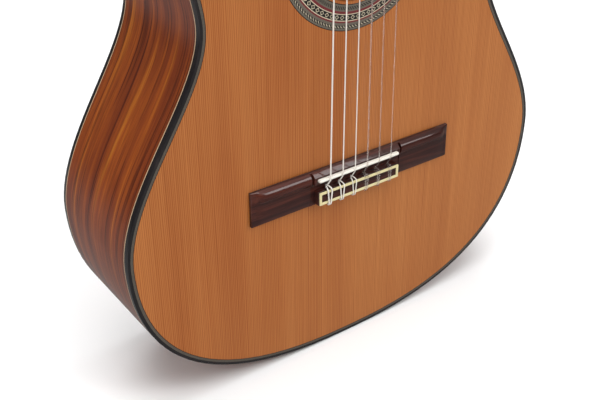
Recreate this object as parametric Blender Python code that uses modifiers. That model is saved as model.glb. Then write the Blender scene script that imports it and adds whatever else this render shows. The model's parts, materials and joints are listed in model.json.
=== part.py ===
"""A classical guitar, standing on its tail with the neck up.

Metres. +Z runs up the neck, +X is the treble side, and the soundboard faces -Y.
The origin is on the tail wedge's outer face, on the centre line.
A height is a distance in front of the soundboard's outer face, and a depth is a distance behind it.
The headstock and its machines are laid out in the head's own frame: x across, y from its front face
backwards, and z along it from the nut.
"""

import math

import bmesh
import bpy
from mathutils import Matrix, Vector

# ---------------------------------------------------------------- driving dimensions
GAP = 0.0003  # glue line or running clearance between pieces that touch
FRONT_Y = -0.050  # the soundboard's outer face
SCALE = 0.650  # vibrating string length
NUT_Z = 0.807  # the nut's playing edge
BODY_LENGTH = 0.482
TAIL_DEPTH = 0.0990  # body depth on the centre line at the tail
HEEL_DEPTH = 0.0950  # and at the heel
BACK_RISE = 0.006  # lengthwise arch of the back
BACK_RADIUS = 4.5  # arch of the back from side to side

# Half of the outline: each node is a point (x, z) with the handles on its tail side and its neck side.
TAIL_FLAT = 0.006
SHOULDER_X = 0.033
OUTLINE = (
    ((TAIL_FLAT, 0.0), None, (0.1426, 0.0)),
    ((0.1845, 0.1325), (0.1845, 0.0645), (0.1845, 0.186)),
    ((0.1205, 0.2815), (0.1205, 0.2405), (0.1205, 0.306)),
    ((0.1425, 0.398), (0.1425, 0.355), (0.1425, 0.444)),
    ((SHOULDER_X, BODY_LENGTH), (0.086, BODY_LENGTH), None),
)
OUTLINE_STEPS = (9, 8, 7, 6)

TOP_THICK = 0.0025
BACK_THICK = 0.0025
RIM_THICK = 0.0025  # the sides and the bindings
BINDING_TALL = 0.0040
LINING_THICK = 0.0055
LINING_TALL = 0.0150
BLOCK_HALF = 0.030
BLOCK_LONG = 0.016
NECK_BLOCK_LONG = 0.034
WEDGE_HALF = 0.004

SOUNDHOLE_Z = 0.319
SOUNDHOLE_R = 0.0430
ROSETTE_INNER_R = 0.0450
ROSETTE_OUTER_R = 0.0633
ROSETTE_THICK = 0.0010

FAN_COUNT = 5
FAN_LOW_Z = 0.050
FAN_HIGH_Z = 0.255
FAN_PITCH_LOW = 0.036  # between neighbours at the tail end
FAN_PITCH_HIGH = 0.019  # and at the soundhole end
FAN_SIZE = (0.006, 0.0045)  # width, height
HARMONIC_BARS = {"lower": 0.2655, "upper": 0.3755}
BAR_SIZE = (0.007, 0.016)
BACK_BRACES_Z = (0.110, 0.255, 0.390)
BACK_BRACE_SIZE = (0.008, 0.012)
BAR_END_SHARE = 0.3  # height left at a bar's ends
BAR_TAPER = 0.030  # length of a harmonic bar's tapered ends

BOARD_TALL = 0.0055
BOARD_END_Z = 0.366
NUT_HALF = 0.026  # half width of the neck at the nut
JOINT_HALF = 0.031  # and where it meets the body
FRET_COUNT = 19
FRET_HALF = 0.0012
FRET_CROWN_HALF = 0.0006
FRET_TALL = 0.0011
NUT_LONG = 0.005
NUT_SLOT = 0.0075  # height of the strings' seats in the nut
NUT_TALL = 0.0088

NECK_THICK = (0.0155, 0.0180)  # wood behind the fingerboard, at the nut and by the heel
NECK_FLAT = 0.30  # flat share of the neck's back
HEEL_CAP_THICK = 0.003
HEEL_CAP_HALF = 0.011
HEEL_CAP_LONG = 0.018
HEEL_SWEEP = 0.058  # length of the curve from the heel cap up to the neck
HEAD_BLEND = 0.026  # length over which the neck's round back turns square for the head
HEAD_EDGE = 0.002  # how far the square end's corners are rounded

HEAD_ORIGIN = Vector((0.0, FRONT_Y, NUT_Z + NUT_LONG + GAP))
HEAD_TILT = math.radians(15)
HEAD_THICK = 0.018
HEAD_HALF = 0.035
HEAD_LONG = 0.186
VENEER_THICK = 0.0022
SLOT_INNER = 0.0068
SLOT_OUTER = 0.0225
SLOT_BOTTOM = 0.014
SLOT_TOP = 0.130
# Half of the head's outline, as (x, z), below and above its straight cheeks
HEAD_LOWER = ((NUT_HALF, 0.0), (0.0270, 0.008), (0.0325, 0.019), (HEAD_HALF, 0.026))
HEAD_UPPER = (
    (HEAD_HALF, 0.148),
    (0.0335, 0.156),
    (0.0280, 0.163),
    (0.0235, 0.172),
    (0.0160, 0.180),
    (0.0080, 0.1845),
    (0.0, HEAD_LONG),
)

BRIDGE_LOW = 0.132
BRIDGE_HIGH = 0.159
BRIDGE_HALF = 0.0905
WING_INNER_X = 0.0415
# The wings' upper surface, as (distance in from the edge, height), on the tail's side and the neck's side
WING_LOW_EDGE = ((0.0, 0.0026),)
WING_HIGH_EDGE = ((0.0095, 0.0040), (0.0070, 0.0058), (0.0045, 0.0062), (0.0018, 0.0048), (0.0, 0.0026))
BASE_HEIGHT = 0.0028  # the bridge between its wings, under the blocks
TIE_BLOCK_Z = (0.1331, 0.1442)
TIE_BLOCK_HALF = 0.0370
TIE_BLOCK_TOP = 0.0074
FRAME_TOP = 0.0088  # the tie block's bone frame
FRAME_WIDE = 0.0020
FRAME_EDGE = 0.0004
SADDLE_BLOCK_Z = (0.1498, 0.1587)
SADDLE_BLOCK_BACK = 0.1556  # where its top ends and its slope to the bridge's edge begins
SADDLE_BLOCK_HALF = 0.0394
SADDLE_BLOCK_TOP = 0.0066
SADDLE_Z = 0.1532
SADDLE_HALF = (0.0367, 0.0012)  # half length, half thickness
SADDLE_LOW = 0.0035
SADDLE_TOP = 0.0092
TIE_HOLE_HEIGHT = 0.0045

# String number: radius, x at the saddle, x at the nut, x at the roller. String 6 is the lowest.
STRINGS = {
    1: (0.00036, 0.0280, 0.0215, 0.0190),
    2: (0.00041, 0.0168, 0.0129, 0.0150),
    3: (0.00051, 0.0056, 0.0043, 0.0125),
    4: (0.00038, -0.0056, -0.0043, -0.0125),
    5: (0.00045, -0.0168, -0.0129, -0.0150),
    6: (0.00055, -0.0280, -0.0215, -0.0190),
}

TUNER_STRINGS = {"bass": (6, 5, 4), "treble": (1, 2, 3)}  # from the nut upwards

# Tuning machines, in the head's frame
ROLLER_Z = (0.048, 0.083, 0.118)
ROLLER_Y = 0.009
ROLLER_R = 0.005
ROLLER_SIDES = 28
ROLLER_HOLE_R = 0.0056
ROLLER_X = (0.0024, 0.0347)  # the wide barrel, from its tip in the spine
AXLE_R = 0.0025
PLATE_X = (0.0353, 0.0365)
PLATE_Y = (0.0012, 0.0168)
PLATE_Z = (0.030, 0.131)
GEAR_X = (0.0396, 0.0420)
WORM_X = 0.0408
GEAR_TEETH = 14
GEAR_R = 0.0070  # pitch radius
GEAR_TIP = (0.0076, 0.00025)  # radius, half width of a tooth
GEAR_ROOT = (0.0059, 0.00080)
WORM_R = 0.0033  # pitch radius
WORM_CREST_R = 0.0039
WORM_ROOT_R = 0.0023
WORM_Y = (0.0042, 0.0138)
WORM_DROP = GEAR_R + WORM_R  # the worm's axis is this much nearer the nut than its roller's
WORM_LEAD = 2 * math.pi * GEAR_R / GEAR_TEETH
SHAFT_R = 0.0018
SHAFT_Y = (0.0004, 0.0240)
LUGS_Y = ((0.0014, 0.0034), (0.0146, 0.0166))
LUG_HALF = 0.0030
BUTTON_SIZE = (0.0085, 0.0140, 0.0190)

COLOURS = {
    "cedar": ((0.55, 0.27, 0.10), 0.35, 0.0),
    "rosewood": ((0.20, 0.055, 0.018), 0.22, 0.0),
    "ebony": ((0.020, 0.014, 0.012), 0.30, 0.0),
    "mahogany": ((0.30, 0.12, 0.05), 0.35, 0.0),
    "spruce": ((0.62, 0.44, 0.25), 0.60, 0.0),
    "bone": ((0.86, 0.80, 0.62), 0.35, 0.0),
    "mosaic": ((0.22, 0.16, 0.13), 0.40, 0.0),
    "nylon": ((0.85, 0.82, 0.76), 0.25, 0.0),
    "wound_silver": ((0.72, 0.70, 0.66), 0.30, 0.9),
    "brass": ((0.78, 0.58, 0.26), 0.28, 1.0),
    "pearl": ((0.88, 0.85, 0.76), 0.18, 0.0),
}


# ---------------------------------------------------------------- objects
def new_collection(name):
    made = bpy.data.collections.new(name)
    bpy.context.scene.collection.children.link(made)
    return made


def material(name):
    found = bpy.data.materials.get(name)
    if found:
        return found
    colour, roughness, metallic = COLOURS[name]
    made = bpy.data.materials.new(name)
    made.use_nodes = True
    shader = made.node_tree.nodes["Principled BSDF"]
    shader.inputs["Base Color"].default_value = (*colour, 1.0)
    shader.inputs["Roughness"].default_value = roughness
    shader.inputs["Metallic"].default_value = metallic
    return made


def place(name, data, finish=None, parent=None, location=(0, 0, 0), rotation=(0, 0, 0)):
    obj = bpy.data.objects.new(name, data)
    PARTS.objects.link(obj)
    obj.parent = parent
    obj.location = location
    obj.rotation_euler = rotation
    if finish and not data.materials:
        data.materials.append(material(finish))
    return obj


def mesh_from(name, bm, closed=True):
    """The finished mesh of bm, with its round faces smooth."""
    if closed:
        bmesh.ops.recalc_face_normals(bm, faces=bm.faces)
    mesh = bpy.data.meshes.new(name)
    bm.to_mesh(mesh)
    bm.free()
    mesh.shade_smooth()
    mesh.set_sharp_from_angle(angle=math.radians(35))
    return mesh


def as_cutter(obj):
    """Moves obj to the cutters, which aren't part of the guitar."""
    PARTS.objects.unlink(obj)
    CUTTERS.objects.link(obj)
    obj.hide_render = True
    obj.display_type = "WIRE"
    return obj


def boolean(obj, other, operation="DIFFERENCE"):
    modifier = obj.modifiers.new(f"{operation.lower()} {other.name}", "BOOLEAN")
    modifier.operation = operation
    modifier.object = as_cutter(other)
    modifier.solver = "EXACT"


def as_mesh(obj):
    """Swaps a curve object for a mesh object of the same name and place, with its caps welded."""
    bpy.context.view_layer.update()
    evaluated = obj.evaluated_get(bpy.context.evaluated_depsgraph_get())
    bm = bmesh.new()
    bm.from_mesh(bpy.data.meshes.new_from_object(evaluated))
    bmesh.ops.remove_doubles(bm, verts=bm.verts, dist=1e-6)
    name, parent, matrix = obj.name, obj.parent, obj.matrix_world.copy()
    finish = obj.data.materials[0].name
    bpy.data.objects.remove(obj, do_unlink=True)
    made = place(name, mesh_from(name, bm), finish, parent)
    made.matrix_world = matrix
    return made


def box(name, low, high, finish, parent=None, location=(0, 0, 0), rotation=(0, 0, 0)):
    """A block between two corners, given relative to its location."""
    low, high = Vector(low), Vector(high)
    bm = bmesh.new()
    bmesh.ops.create_cube(bm, size=1.0)
    bmesh.ops.scale(bm, vec=high - low, verts=bm.verts)
    bmesh.ops.translate(bm, vec=(low + high) / 2, verts=bm.verts)
    return place(name, mesh_from(name, bm), finish, parent, location, rotation)


def rod(name, radius, start, end, finish, parent=None, sides=12):
    start, end = Vector(start), Vector(end)
    along = end - start
    bm = bmesh.new()
    bmesh.ops.create_cone(
        bm, cap_ends=True, segments=sides, radius1=radius, radius2=radius, depth=along.length
    )
    turn = along.to_track_quat("Z", "Y").to_matrix().to_4x4()
    bmesh.ops.transform(bm, matrix=Matrix.Translation((start + end) / 2) @ turn, verts=bm.verts)
    return place(name, mesh_from(name, bm), finish, parent)


def circle(centre, radius, sides=36):
    turns = [2 * math.pi * i / sides for i in range(sides)]
    return [(centre[0] + radius * math.cos(a), centre[1] + radius * math.sin(a)) for a in turns]


def flat_curve(name, outlines, thickness, finish):
    """A filled 2D curve given thickness; outlines after the first are holes in it."""
    curve = bpy.data.curves.new(name, "CURVE")
    curve.dimensions = "2D"
    curve.fill_mode = "BOTH"
    curve.extrude = thickness / 2
    for outline in outlines:
        spline = curve.splines.new("POLY")
        spline.points.add(len(outline) - 1)
        for point, (a, b) in zip(spline.points, outline):
            point.co = (a, b, 0.0, 1.0)
        spline.use_cyclic_u = True
    curve.materials.append(material(finish))
    return curve


def front_plate(name, outlines, low_y, high_y, finish, parent=None):
    """Outlines in x and z, made solid between two y values."""
    curve = flat_curve(name, outlines, high_y - low_y, finish)
    middle = (0, (low_y + high_y) / 2, 0)
    return place(name, curve, None, parent, middle, (math.pi / 2, 0, 0))


def side_plate(name, outline, half_x, finish, parent=None, centre_x=0.0):
    """An outline in z and height, made solid across x. In the head's frame its heights run along -y."""
    bm = bmesh.new()
    front = 0.0 if parent else FRONT_Y
    verts = [bm.verts.new((centre_x - half_x, front - height, z)) for z, height in outline]
    made = bmesh.ops.extrude_face_region(bm, geom=[bm.faces.new(verts)])["geom"]
    moved = [item for item in made if isinstance(item, bmesh.types.BMVert)]
    bmesh.ops.translate(bm, vec=(2 * half_x, 0, 0), verts=moved)
    return place(name, mesh_from(name, bm), finish, parent)


def loft(name, sections, finish, parent=None):
    """A skin through rings of equal length, closed by a flat face at each end."""
    bm = bmesh.new()
    skin(bm, sections)
    return place(name, mesh_from(name, bm), finish, parent)


def solidify(obj, thickness):
    """Thickens an open surface away from its faces' front side."""
    modifier = obj.modifiers.new("thickness", "SOLIDIFY")
    modifier.thickness = thickness
    modifier.offset = -1.0
    modifier.use_even_offset = True


def tube(name, points, radius, finish):
    curve = bpy.data.curves.new(name, "CURVE")
    curve.dimensions = "3D"
    curve.bevel_depth = radius
    curve.bevel_resolution = 2
    curve.use_fill_caps = True
    spline = curve.splines.new("POLY")
    spline.points.add(len(points) - 1)
    for point, position in zip(spline.points, points):
        point.co = (*position, 1.0)
    curve.materials.append(material(finish))
    return place(name, curve)


# ---------------------------------------------------------------- the body's outline and depth
def bezier(handles, t):
    """A point of a cubic curve, and its direction there."""
    p0, p1, p2, p3 = (Vector(h) for h in handles)
    s = 1 - t
    point = s**3 * p0 + 3 * s * s * t * p1 + 3 * s * t * t * p2 + t**3 * p3
    slope = s * s * (p1 - p0) + 2 * s * t * (p2 - p1) + t * t * (p3 - p2)
    return point, slope.normalized()


def half_outline(inset=0.0):
    """The treble half, from the tail's flat to the shoulder, moved in by inset."""
    points = []
    for (start, _, leaving), (end, arriving, _), steps in zip(OUTLINE, OUTLINE[1:], OUTLINE_STEPS):
        last = end == OUTLINE[-1][0]
        for i in range(steps + last):
            point, slope = bezier((start, leaving, arriving, end), i / steps)
            points.append((point.x - slope.y * inset, point.y + slope.x * inset))
    return points


def full_outline(inset=0.0):
    half = half_outline(inset)
    return half + [(-x, z) for x, z in half[::-1]]


def starting_at(points, x):
    """The points with the stretch nearer the centre line than x cut off their start."""
    for i, ((x0, z0), (x1, z1)) in enumerate(zip(points, points[1:])):
        if x1 > x:
            share = (x - x0) / (x1 - x0)
            return [(x, z0 + (z1 - z0) * share)] + points[i + 1 :]
    raise ValueError("the outline never gets that far out")


def side_path(side, inset, tail_x, neck_x):
    """One side of the outline, between two distances from the centre line.

    side is 1 on the treble side and -1 on the bass side. Both run anticlockwise seen from the front.
    """
    points = [(0.0, inset)] + half_outline(inset) + [(0.0, BODY_LENGTH - inset)]
    points = starting_at(points, tail_x)
    points = starting_at(points[::-1], neck_x)[::-1]
    return [(side * x, z) for x, z in points][::side]


def half_width(z, inset=0.0):
    points = half_outline(inset)
    for (x0, z0), (x1, z1) in zip(points, points[1:]):
        if z0 <= z <= z1 and z1 > z0:
            return x0 + (x1 - x0) * (z - z0) / (z1 - z0)
    raise ValueError(f"{z} is outside the body")


def body_depth(x, z):
    """From the soundboard's outer face to the back's outer face."""
    share = z / BODY_LENGTH
    middle = TAIL_DEPTH + (HEEL_DEPTH - TAIL_DEPTH) * share + 4 * BACK_RISE * share * (1 - share)
    return middle - x * x / (2 * BACK_RADIUS)


def inner_depth(x, z):
    """From the soundboard's outer face to just inside the back."""
    return body_depth(x, z) - BACK_THICK - GAP


# ---------------------------------------------------------------- body
def rim_strip(name, path, low_depth, high_depth, thickness, finish, closed=False):
    """A bent strip along path, between two depths given as functions of x and z."""
    bm = bmesh.new()
    rows = [
        (
            bm.verts.new((x, FRONT_Y + low_depth(x, z), z)),
            bm.verts.new((x, FRONT_Y + high_depth(x, z), z)),
        )
        for x, z in path
    ]
    following = rows[1:] + rows[:1] if closed else rows[1:]
    for here, there in zip(rows, following):
        bm.faces.new((here[0], here[1], there[1], there[0]))
    obj = place(name, mesh_from(name, bm, closed=False), finish)
    solidify(obj, thickness)
    return obj


def make_soundboard():
    edge = full_outline(RIM_THICK + GAP)
    hole = circle((0, SOUNDHOLE_Z), SOUNDHOLE_R)
    board = as_mesh(front_plate("soundboard", [edge, hole], FRONT_Y, FRONT_Y + TOP_THICK, "cedar"))
    inner = circle((0, SOUNDHOLE_Z), ROSETTE_INNER_R)
    outer = circle((0, SOUNDHOLE_Z), ROSETTE_OUTER_R)
    front_plate("rosette", [outer, inner], FRONT_Y, FRONT_Y + ROSETTE_THICK, "mosaic")
    wider = circle((0, SOUNDHOLE_Z), ROSETTE_OUTER_R + GAP)
    narrower = circle((0, SOUNDHOLE_Z), ROSETTE_INNER_R - GAP)
    pocket_floor = FRONT_Y + ROSETTE_THICK + GAP
    pocket = front_plate("rosette_pocket", [wider, narrower], FRONT_Y - 0.001, pocket_floor, "cedar")
    boolean(board, as_mesh(pocket))


def make_back(name, side):
    """One bookmatched half: a grid laid over half of the arched back, then thickened inwards."""
    edge = half_outline(RIM_THICK + GAP)
    columns = 4
    bm = bmesh.new()
    bmesh.ops.create_grid(bm, x_segments=columns, y_segments=len(edge) - 1, size=0.5)
    for vert in bm.verts:
        half_x, z = edge[round((vert.co.y + 0.5) * (len(edge) - 1))]
        x = GAP / 2 + (half_x - GAP / 2) * (vert.co.x + 0.5)
        vert.co = (side * x, FRONT_Y + body_depth(x, z), z)
    bm.normal_update()
    if sum(face.normal.y for face in bm.faces) < 0:
        bmesh.ops.reverse_faces(bm, faces=bm.faces)
    obj = place(name, mesh_from(name, bm, closed=False), "rosewood")
    solidify(obj, BACK_THICK)


def make_rims():
    rib_low = BINDING_TALL + GAP
    outline = full_outline()
    rim_strip("top_binding", outline, lambda x, z: 0.0, lambda x, z: BINDING_TALL, RIM_THICK, "ebony", True)
    rim_strip(
        "back_binding",
        outline,
        lambda x, z: body_depth(x, z) - BINDING_TALL,
        body_depth,
        RIM_THICK,
        "ebony",
        True,
    )
    inside = RIM_THICK + GAP
    lining_low = TOP_THICK + GAP
    for side, word in ((-1, "bass"), (1, "treble")):
        rim_strip(
            f"side_{word}",
            side_path(side, 0.0, WEDGE_HALF + GAP, GAP / 2),
            lambda x, z: rib_low,
            lambda x, z: body_depth(x, z) - rib_low,
            RIM_THICK,
            "rosewood",
        )
        lining_path = side_path(side, inside, BLOCK_HALF + GAP, BLOCK_HALF + GAP)
        rim_strip(
            f"top_lining_{word}",
            lining_path,
            lambda x, z: lining_low,
            lambda x, z: lining_low + LINING_TALL,
            LINING_THICK,
            "mahogany",
        )
        rim_strip(
            f"back_lining_{word}",
            lining_path,
            lambda x, z: inner_depth(x, z) - LINING_TALL,
            inner_depth,
            LINING_THICK,
            "mahogany",
        )


def make_blocks():
    inside = RIM_THICK + GAP
    top = FRONT_Y + TOP_THICK + GAP
    tail_edge = [(0.0, inside)] + half_outline(inside)
    stations = [BLOCK_HALF * share / 3 for share in range(1, 4)]
    right = [starting_at(tail_edge, x)[0] for x in stations]
    low_edge = [(-x, z) for x, z in right[::-1]] + right
    outline = low_edge + [(BLOCK_HALF, inside + BLOCK_LONG), (-BLOCK_HALF, inside + BLOCK_LONG)]
    front_plate("tail_block", [outline], top, FRONT_Y + inner_depth(BLOCK_HALF, 0.0), "mahogany")
    wedge_end = body_depth(WEDGE_HALF, 0.0) - BINDING_TALL - GAP
    box(
        "tail_wedge",
        (-WEDGE_HALF, FRONT_Y + BINDING_TALL + GAP, 0.0),
        (WEDGE_HALF, FRONT_Y + wedge_end, RIM_THICK),
        "ebony",
    )
    high = BODY_LENGTH - inside
    box(
        "neck_block",
        (-BLOCK_HALF, top, high - NECK_BLOCK_LONG),
        (BLOCK_HALF, FRONT_Y + inner_depth(BLOCK_HALF, high), high),
        "mahogany",
    )


def make_top_braces():
    top = FRONT_Y + TOP_THICK + GAP
    for i in range(FAN_COUNT):
        place_in_fan = i - (FAN_COUNT - 1) / 2
        low = Vector((place_in_fan * FAN_PITCH_LOW, top, FAN_LOW_Z))
        high = Vector((place_in_fan * FAN_PITCH_HIGH, top, FAN_HIGH_Z))
        width, height = FAN_SIZE
        lean = math.atan2(high.x - low.x, high.z - low.z)
        box(
            f"fan_brace_{i + 1}",
            (-width / 2, 0.0, 0.0),
            (width / 2, height, (high - low).length),
            "spruce",
            location=low,
            rotation=(0, lean, 0),
        )
    for word, z in HARMONIC_BARS.items():
        width, height = BAR_SIZE
        inset = RIM_THICK + LINING_THICK + 3 * GAP
        half = min(half_width(z - width / 2, inset), half_width(z + width / 2, inset))
        end_height = BAR_END_SHARE * height
        profile = [(-half, 0), (half, 0), (half, end_height), (half - BAR_TAPER, height)]
        profile += [(BAR_TAPER - half, height), (-half, end_height)]
        across_bar(f"harmonic_bar_{word}", profile, z, width, top)


def across_bar(name, profile, z, width, front_y):
    """A bar across the body: its profile, in x and depth from front_y, given its width along z."""
    curve = flat_curve(name, [profile], width, "spruce")
    place(name, curve, None, None, (0, front_y, z))


def make_back_braces():
    width, height = BACK_BRACE_SIZE
    for i, z in enumerate(BACK_BRACES_Z):
        inset = RIM_THICK + LINING_THICK + 3 * GAP
        edges = (z - width / 2, z + width / 2)
        half = min(half_width(edge, inset) for edge in edges)
        stations = [half * step / 4 for step in range(-4, 5)]
        outer = [(x, min(inner_depth(x, edge) for edge in edges)) for x in stations]
        end_depth = outer[0][1] - BAR_END_SHARE * height
        inner = [(x, d - height) for x, d in outer[1:-1]]
        profile = outer + [(half, end_depth)] + inner[::-1] + [(-half, end_depth)]
        across_bar(f"back_brace_{i + 1}", profile, z, width, FRONT_Y)


# ---------------------------------------------------------------- neck
def board_half(z):
    """Half of the neck's width at z."""
    return NUT_HALF + (JOINT_HALF - NUT_HALF) * (NUT_Z - z) / (NUT_Z - BODY_LENGTH)


def neck_section(z, half, depth, flat, lean=0.0):
    """A ring round the neck: a flat front, rounded sides and a flat of half width flat behind.

    lean moves the back towards the tail, as a slope of z over depth.
    """
    angles = [math.radians(90 * i / 5) for i in range(6)]
    side = [(flat + (half - flat) * math.cos(a), depth * math.sin(a)) for a in angles]
    ring = side + [(-x, d) for x, d in side[::-1]]
    return [(x, FRONT_Y + d, z - lean * d) for x, d in ring]


def make_neck():
    heel_z = BODY_LENGTH + GAP
    full = body_depth(0.0, BODY_LENGTH) - HEEL_CAP_THICK - GAP
    slim_nut, slim_heel = NECK_THICK
    cap_top = heel_z + HEEL_CAP_LONG
    neck_start = cap_top + HEEL_SWEEP
    sections = [neck_section(heel_z, JOINT_HALF, full, HEEL_CAP_HALF)]
    for i in range(9):
        angle = math.radians(90 * i / 8)
        z = neck_start - HEEL_SWEEP * math.cos(angle)
        depth = slim_heel + (full - slim_heel) * (1 - math.sin(angle))
        flat = HEEL_CAP_HALF + (NECK_FLAT * board_half(z) - HEEL_CAP_HALF) * math.sin(angle)
        sections.append(neck_section(z, board_half(z), depth, flat))
    blend_z = NUT_Z - HEAD_BLEND
    half = board_half(blend_z)
    sections.append(neck_section(blend_z, half, slim_nut, NECK_FLAT * half))
    nut_end = NUT_Z + NUT_LONG
    depth = HEAD_THICK * math.cos(HEAD_TILT)
    sections.append(neck_section(nut_end, NUT_HALF, depth, NUT_HALF - HEAD_EDGE, math.tan(HEAD_TILT)))
    loft("neck", sections, "mahogany")
    cap_low = FRONT_Y + full + GAP
    box(
        "heel_cap",
        (-HEEL_CAP_HALF, cap_low, heel_z),
        (HEEL_CAP_HALF, cap_low + HEEL_CAP_THICK, cap_top),
        "ebony",
    )


def fret_z(number):
    return NUT_Z - SCALE * (1 - 2 ** (-number / 12))


def make_fingerboard():
    """The board and its frets as one side profile, then narrowed towards the nut."""
    top = GAP + BOARD_TALL
    profile = [(NUT_Z - GAP, top), (NUT_Z - GAP, GAP), (BOARD_END_Z, GAP), (BOARD_END_Z, top)]
    for number in range(FRET_COUNT, 0, -1):
        z = fret_z(number)
        crown = top + FRET_TALL
        profile += [(z - FRET_HALF, top), (z - FRET_CROWN_HALF, crown)]
        profile += [(z + FRET_CROWN_HALF, crown), (z + FRET_HALF, top)]
    board = side_plate("fingerboard", profile, 1.0, "ebony")
    for vert in board.data.vertices:
        vert.co.x *= board_half(vert.co.z)


def make_nut():
    nut = box(
        "nut",
        (-NUT_HALF, FRONT_Y - NUT_TALL, NUT_Z),
        (NUT_HALF, FRONT_Y - GAP, NUT_Z + NUT_LONG),
        "bone",
    )
    for number, (radius, _, x, _) in STRINGS.items():
        half = radius + GAP
        notch = box(
            f"nut_slot_{number}",
            (x - half, FRONT_Y - NUT_TALL - 0.002, NUT_Z - 0.001),
            (x + half, FRONT_Y - NUT_SLOT, NUT_Z + NUT_LONG + 0.001),
            "bone",
        )
        boolean(nut, notch)


# ---------------------------------------------------------------- head
def head_outline():
    """Square shoulders above the nut, straight cheeks, and a low crest with a scoop on each side."""
    right = HEAD_LOWER + HEAD_UPPER
    return list(right) + [(-x, z) for x, z in right[-2::-1]]


def slot_outline(side):
    """A long slot with round ends."""
    middle = (SLOT_INNER + SLOT_OUTER) / 2
    radius = (SLOT_OUTER - SLOT_INNER) / 2
    turns = [math.radians(180 * i / 6) for i in range(7)]
    top = [(middle + radius * math.cos(a), SLOT_TOP - radius + radius * math.sin(a)) for a in turns]
    low = [(middle - radius * math.cos(a), SLOT_BOTTOM + radius - radius * math.sin(a)) for a in turns]
    return [(side * x, z) for x, z in top + low]


def make_head(head):
    outlines = [head_outline(), slot_outline(-1), slot_outline(1)]
    wood = as_mesh(front_plate("headstock", outlines, 0.0, HEAD_THICK, "mahogany", head))
    front_plate("head_veneer", outlines, -GAP - VENEER_THICK, -GAP, "rosewood", head)
    for side in (-1, 1):
        for i, z in enumerate(ROLLER_Z):
            start = (side * (ROLLER_X[0] - GAP), ROLLER_Y, z)
            end = (side * (HEAD_HALF + 0.002), ROLLER_Y, z)
            name = f"roller_hole_{'bass' if side < 0 else 'treble'}_{i + 1}"
            boolean(wood, rod(name, ROLLER_HOLE_R, start, end, "mahogany", head, sides=16))


# ---------------------------------------------------------------- tuning machines
def make_tuner_plate(word, side, head):
    """A side plate with a pair of lugs for each worm shaft, and a hole for each roller's axle."""
    low_x, high_x = sorted(side * x for x in PLATE_X)
    plate = box(
        f"tuner_plate_{word}",
        (low_x, PLATE_Y[0], PLATE_Z[0]),
        (high_x, PLATE_Y[1], PLATE_Z[1]),
        "brass",
        head,
    )
    lug_x = sorted((side * (PLATE_X[1] - 0.0005), side * (WORM_X + LUG_HALF)))
    for i, roller_z in enumerate(ROLLER_Z):
        worm_z = roller_z - WORM_DROP
        for j, (low_y, high_y) in enumerate(LUGS_Y):
            lug = box(
                f"lug_{word}_{i}_{j}",
                (lug_x[0], low_y, worm_z - LUG_HALF),
                (lug_x[1], high_y, worm_z + LUG_HALF),
                "brass",
                head,
            )
            boolean(plate, lug, "UNION")
        x = side * WORM_X
        start, end = (x, LUGS_Y[0][0] - 0.001, worm_z), (x, LUGS_Y[1][1] + 0.001, worm_z)
        boolean(plate, rod(f"shaft_bore_{word}_{i}", SHAFT_R + GAP, start, end, "brass", head))
        start = (side * (PLATE_X[0] - 0.001), ROLLER_Y, roller_z)
        end = (side * (PLATE_X[1] + 0.001), ROLLER_Y, roller_z)
        boolean(plate, rod(f"axle_bore_{word}_{i}", AXLE_R + GAP, start, end, "brass", head))


def gear_outline():
    """The worm wheel seen along its axis, in y and z, with a gap between teeth at its lowest point."""
    (root, root_half), (tip, tip_half) = GEAR_ROOT, GEAR_TIP
    flanks = ((root, -root_half), (tip, -tip_half), (tip, tip_half), (root, root_half))
    points = []
    for tooth in range(GEAR_TEETH):
        middle = -math.pi / 2 + 2 * math.pi * (tooth + 0.5) / GEAR_TEETH
        for radius, half in flanks:
            angle = middle + half / radius
            points.append((radius * math.cos(angle), radius * math.sin(angle)))
    return points


def skin(bm, sections):
    """Joins rings of equal length in bm, and closes both ends with a flat face."""
    rings = [[bm.verts.new(point) for point in section] for section in sections]
    count = len(rings[0])
    for near, far in zip(rings, rings[1:]):
        for i in range(count):
            j = (i + 1) % count
            bm.faces.new((near[i], near[j], far[j], far[i]))
    bm.faces.new(rings[0])
    bm.faces.new(rings[-1])


def roller_mesh():
    """A barrel and its axle along x, as far as the inside of the worm wheel."""
    turns = [2 * math.pi * i / ROLLER_SIDES for i in range(ROLLER_SIDES)]
    steps = (
        (ROLLER_X[0], ROLLER_R),
        (ROLLER_X[1], ROLLER_R),
        (ROLLER_X[1], AXLE_R),
        (sum(GEAR_X) / 2, AXLE_R),
    )
    bm = bmesh.new()
    skin(bm, [[(x, radius * math.cos(a), radius * math.sin(a)) for a in turns] for x, radius in steps])
    return mesh_from("roller", bm)


def worm_radius(turn, y):
    """One thread round a core, with its crest on the wheel's side at the roller's height."""
    phase = (turn - 2 * math.pi * (y - ROLLER_Y) / WORM_LEAD + math.pi) % (2 * math.pi) - math.pi
    crest_half, root_half = math.radians(30), math.radians(90)
    rise = (root_half - abs(phase)) / (root_half - crest_half)
    return WORM_ROOT_R + (WORM_CREST_R - WORM_ROOT_R) * min(1.0, max(0.0, rise))


def worm_mesh():
    """A worm on its shaft, along y through the origin. Turns are counted from +z towards +x."""
    turns = [2 * math.pi * i / 10 for i in range(10)]

    def section(y, radius_at):
        return [(radius_at(a) * math.sin(a), y, radius_at(a) * math.cos(a)) for a in turns]

    def shaft(y):
        return section(y, lambda a: SHAFT_R)

    low, high = WORM_Y
    steps = round(8 * (high - low) / WORM_LEAD)
    heights = [low + (high - low) * i / steps for i in range(steps + 1)]
    thread = [section(y, lambda a, y=y: worm_radius(a, y)) for y in heights]
    bm = bmesh.new()
    skin(bm, [shaft(SHAFT_Y[0]), shaft(low)] + thread + [shaft(high), shaft(SHAFT_Y[1])])
    return mesh_from("worm", bm)


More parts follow.
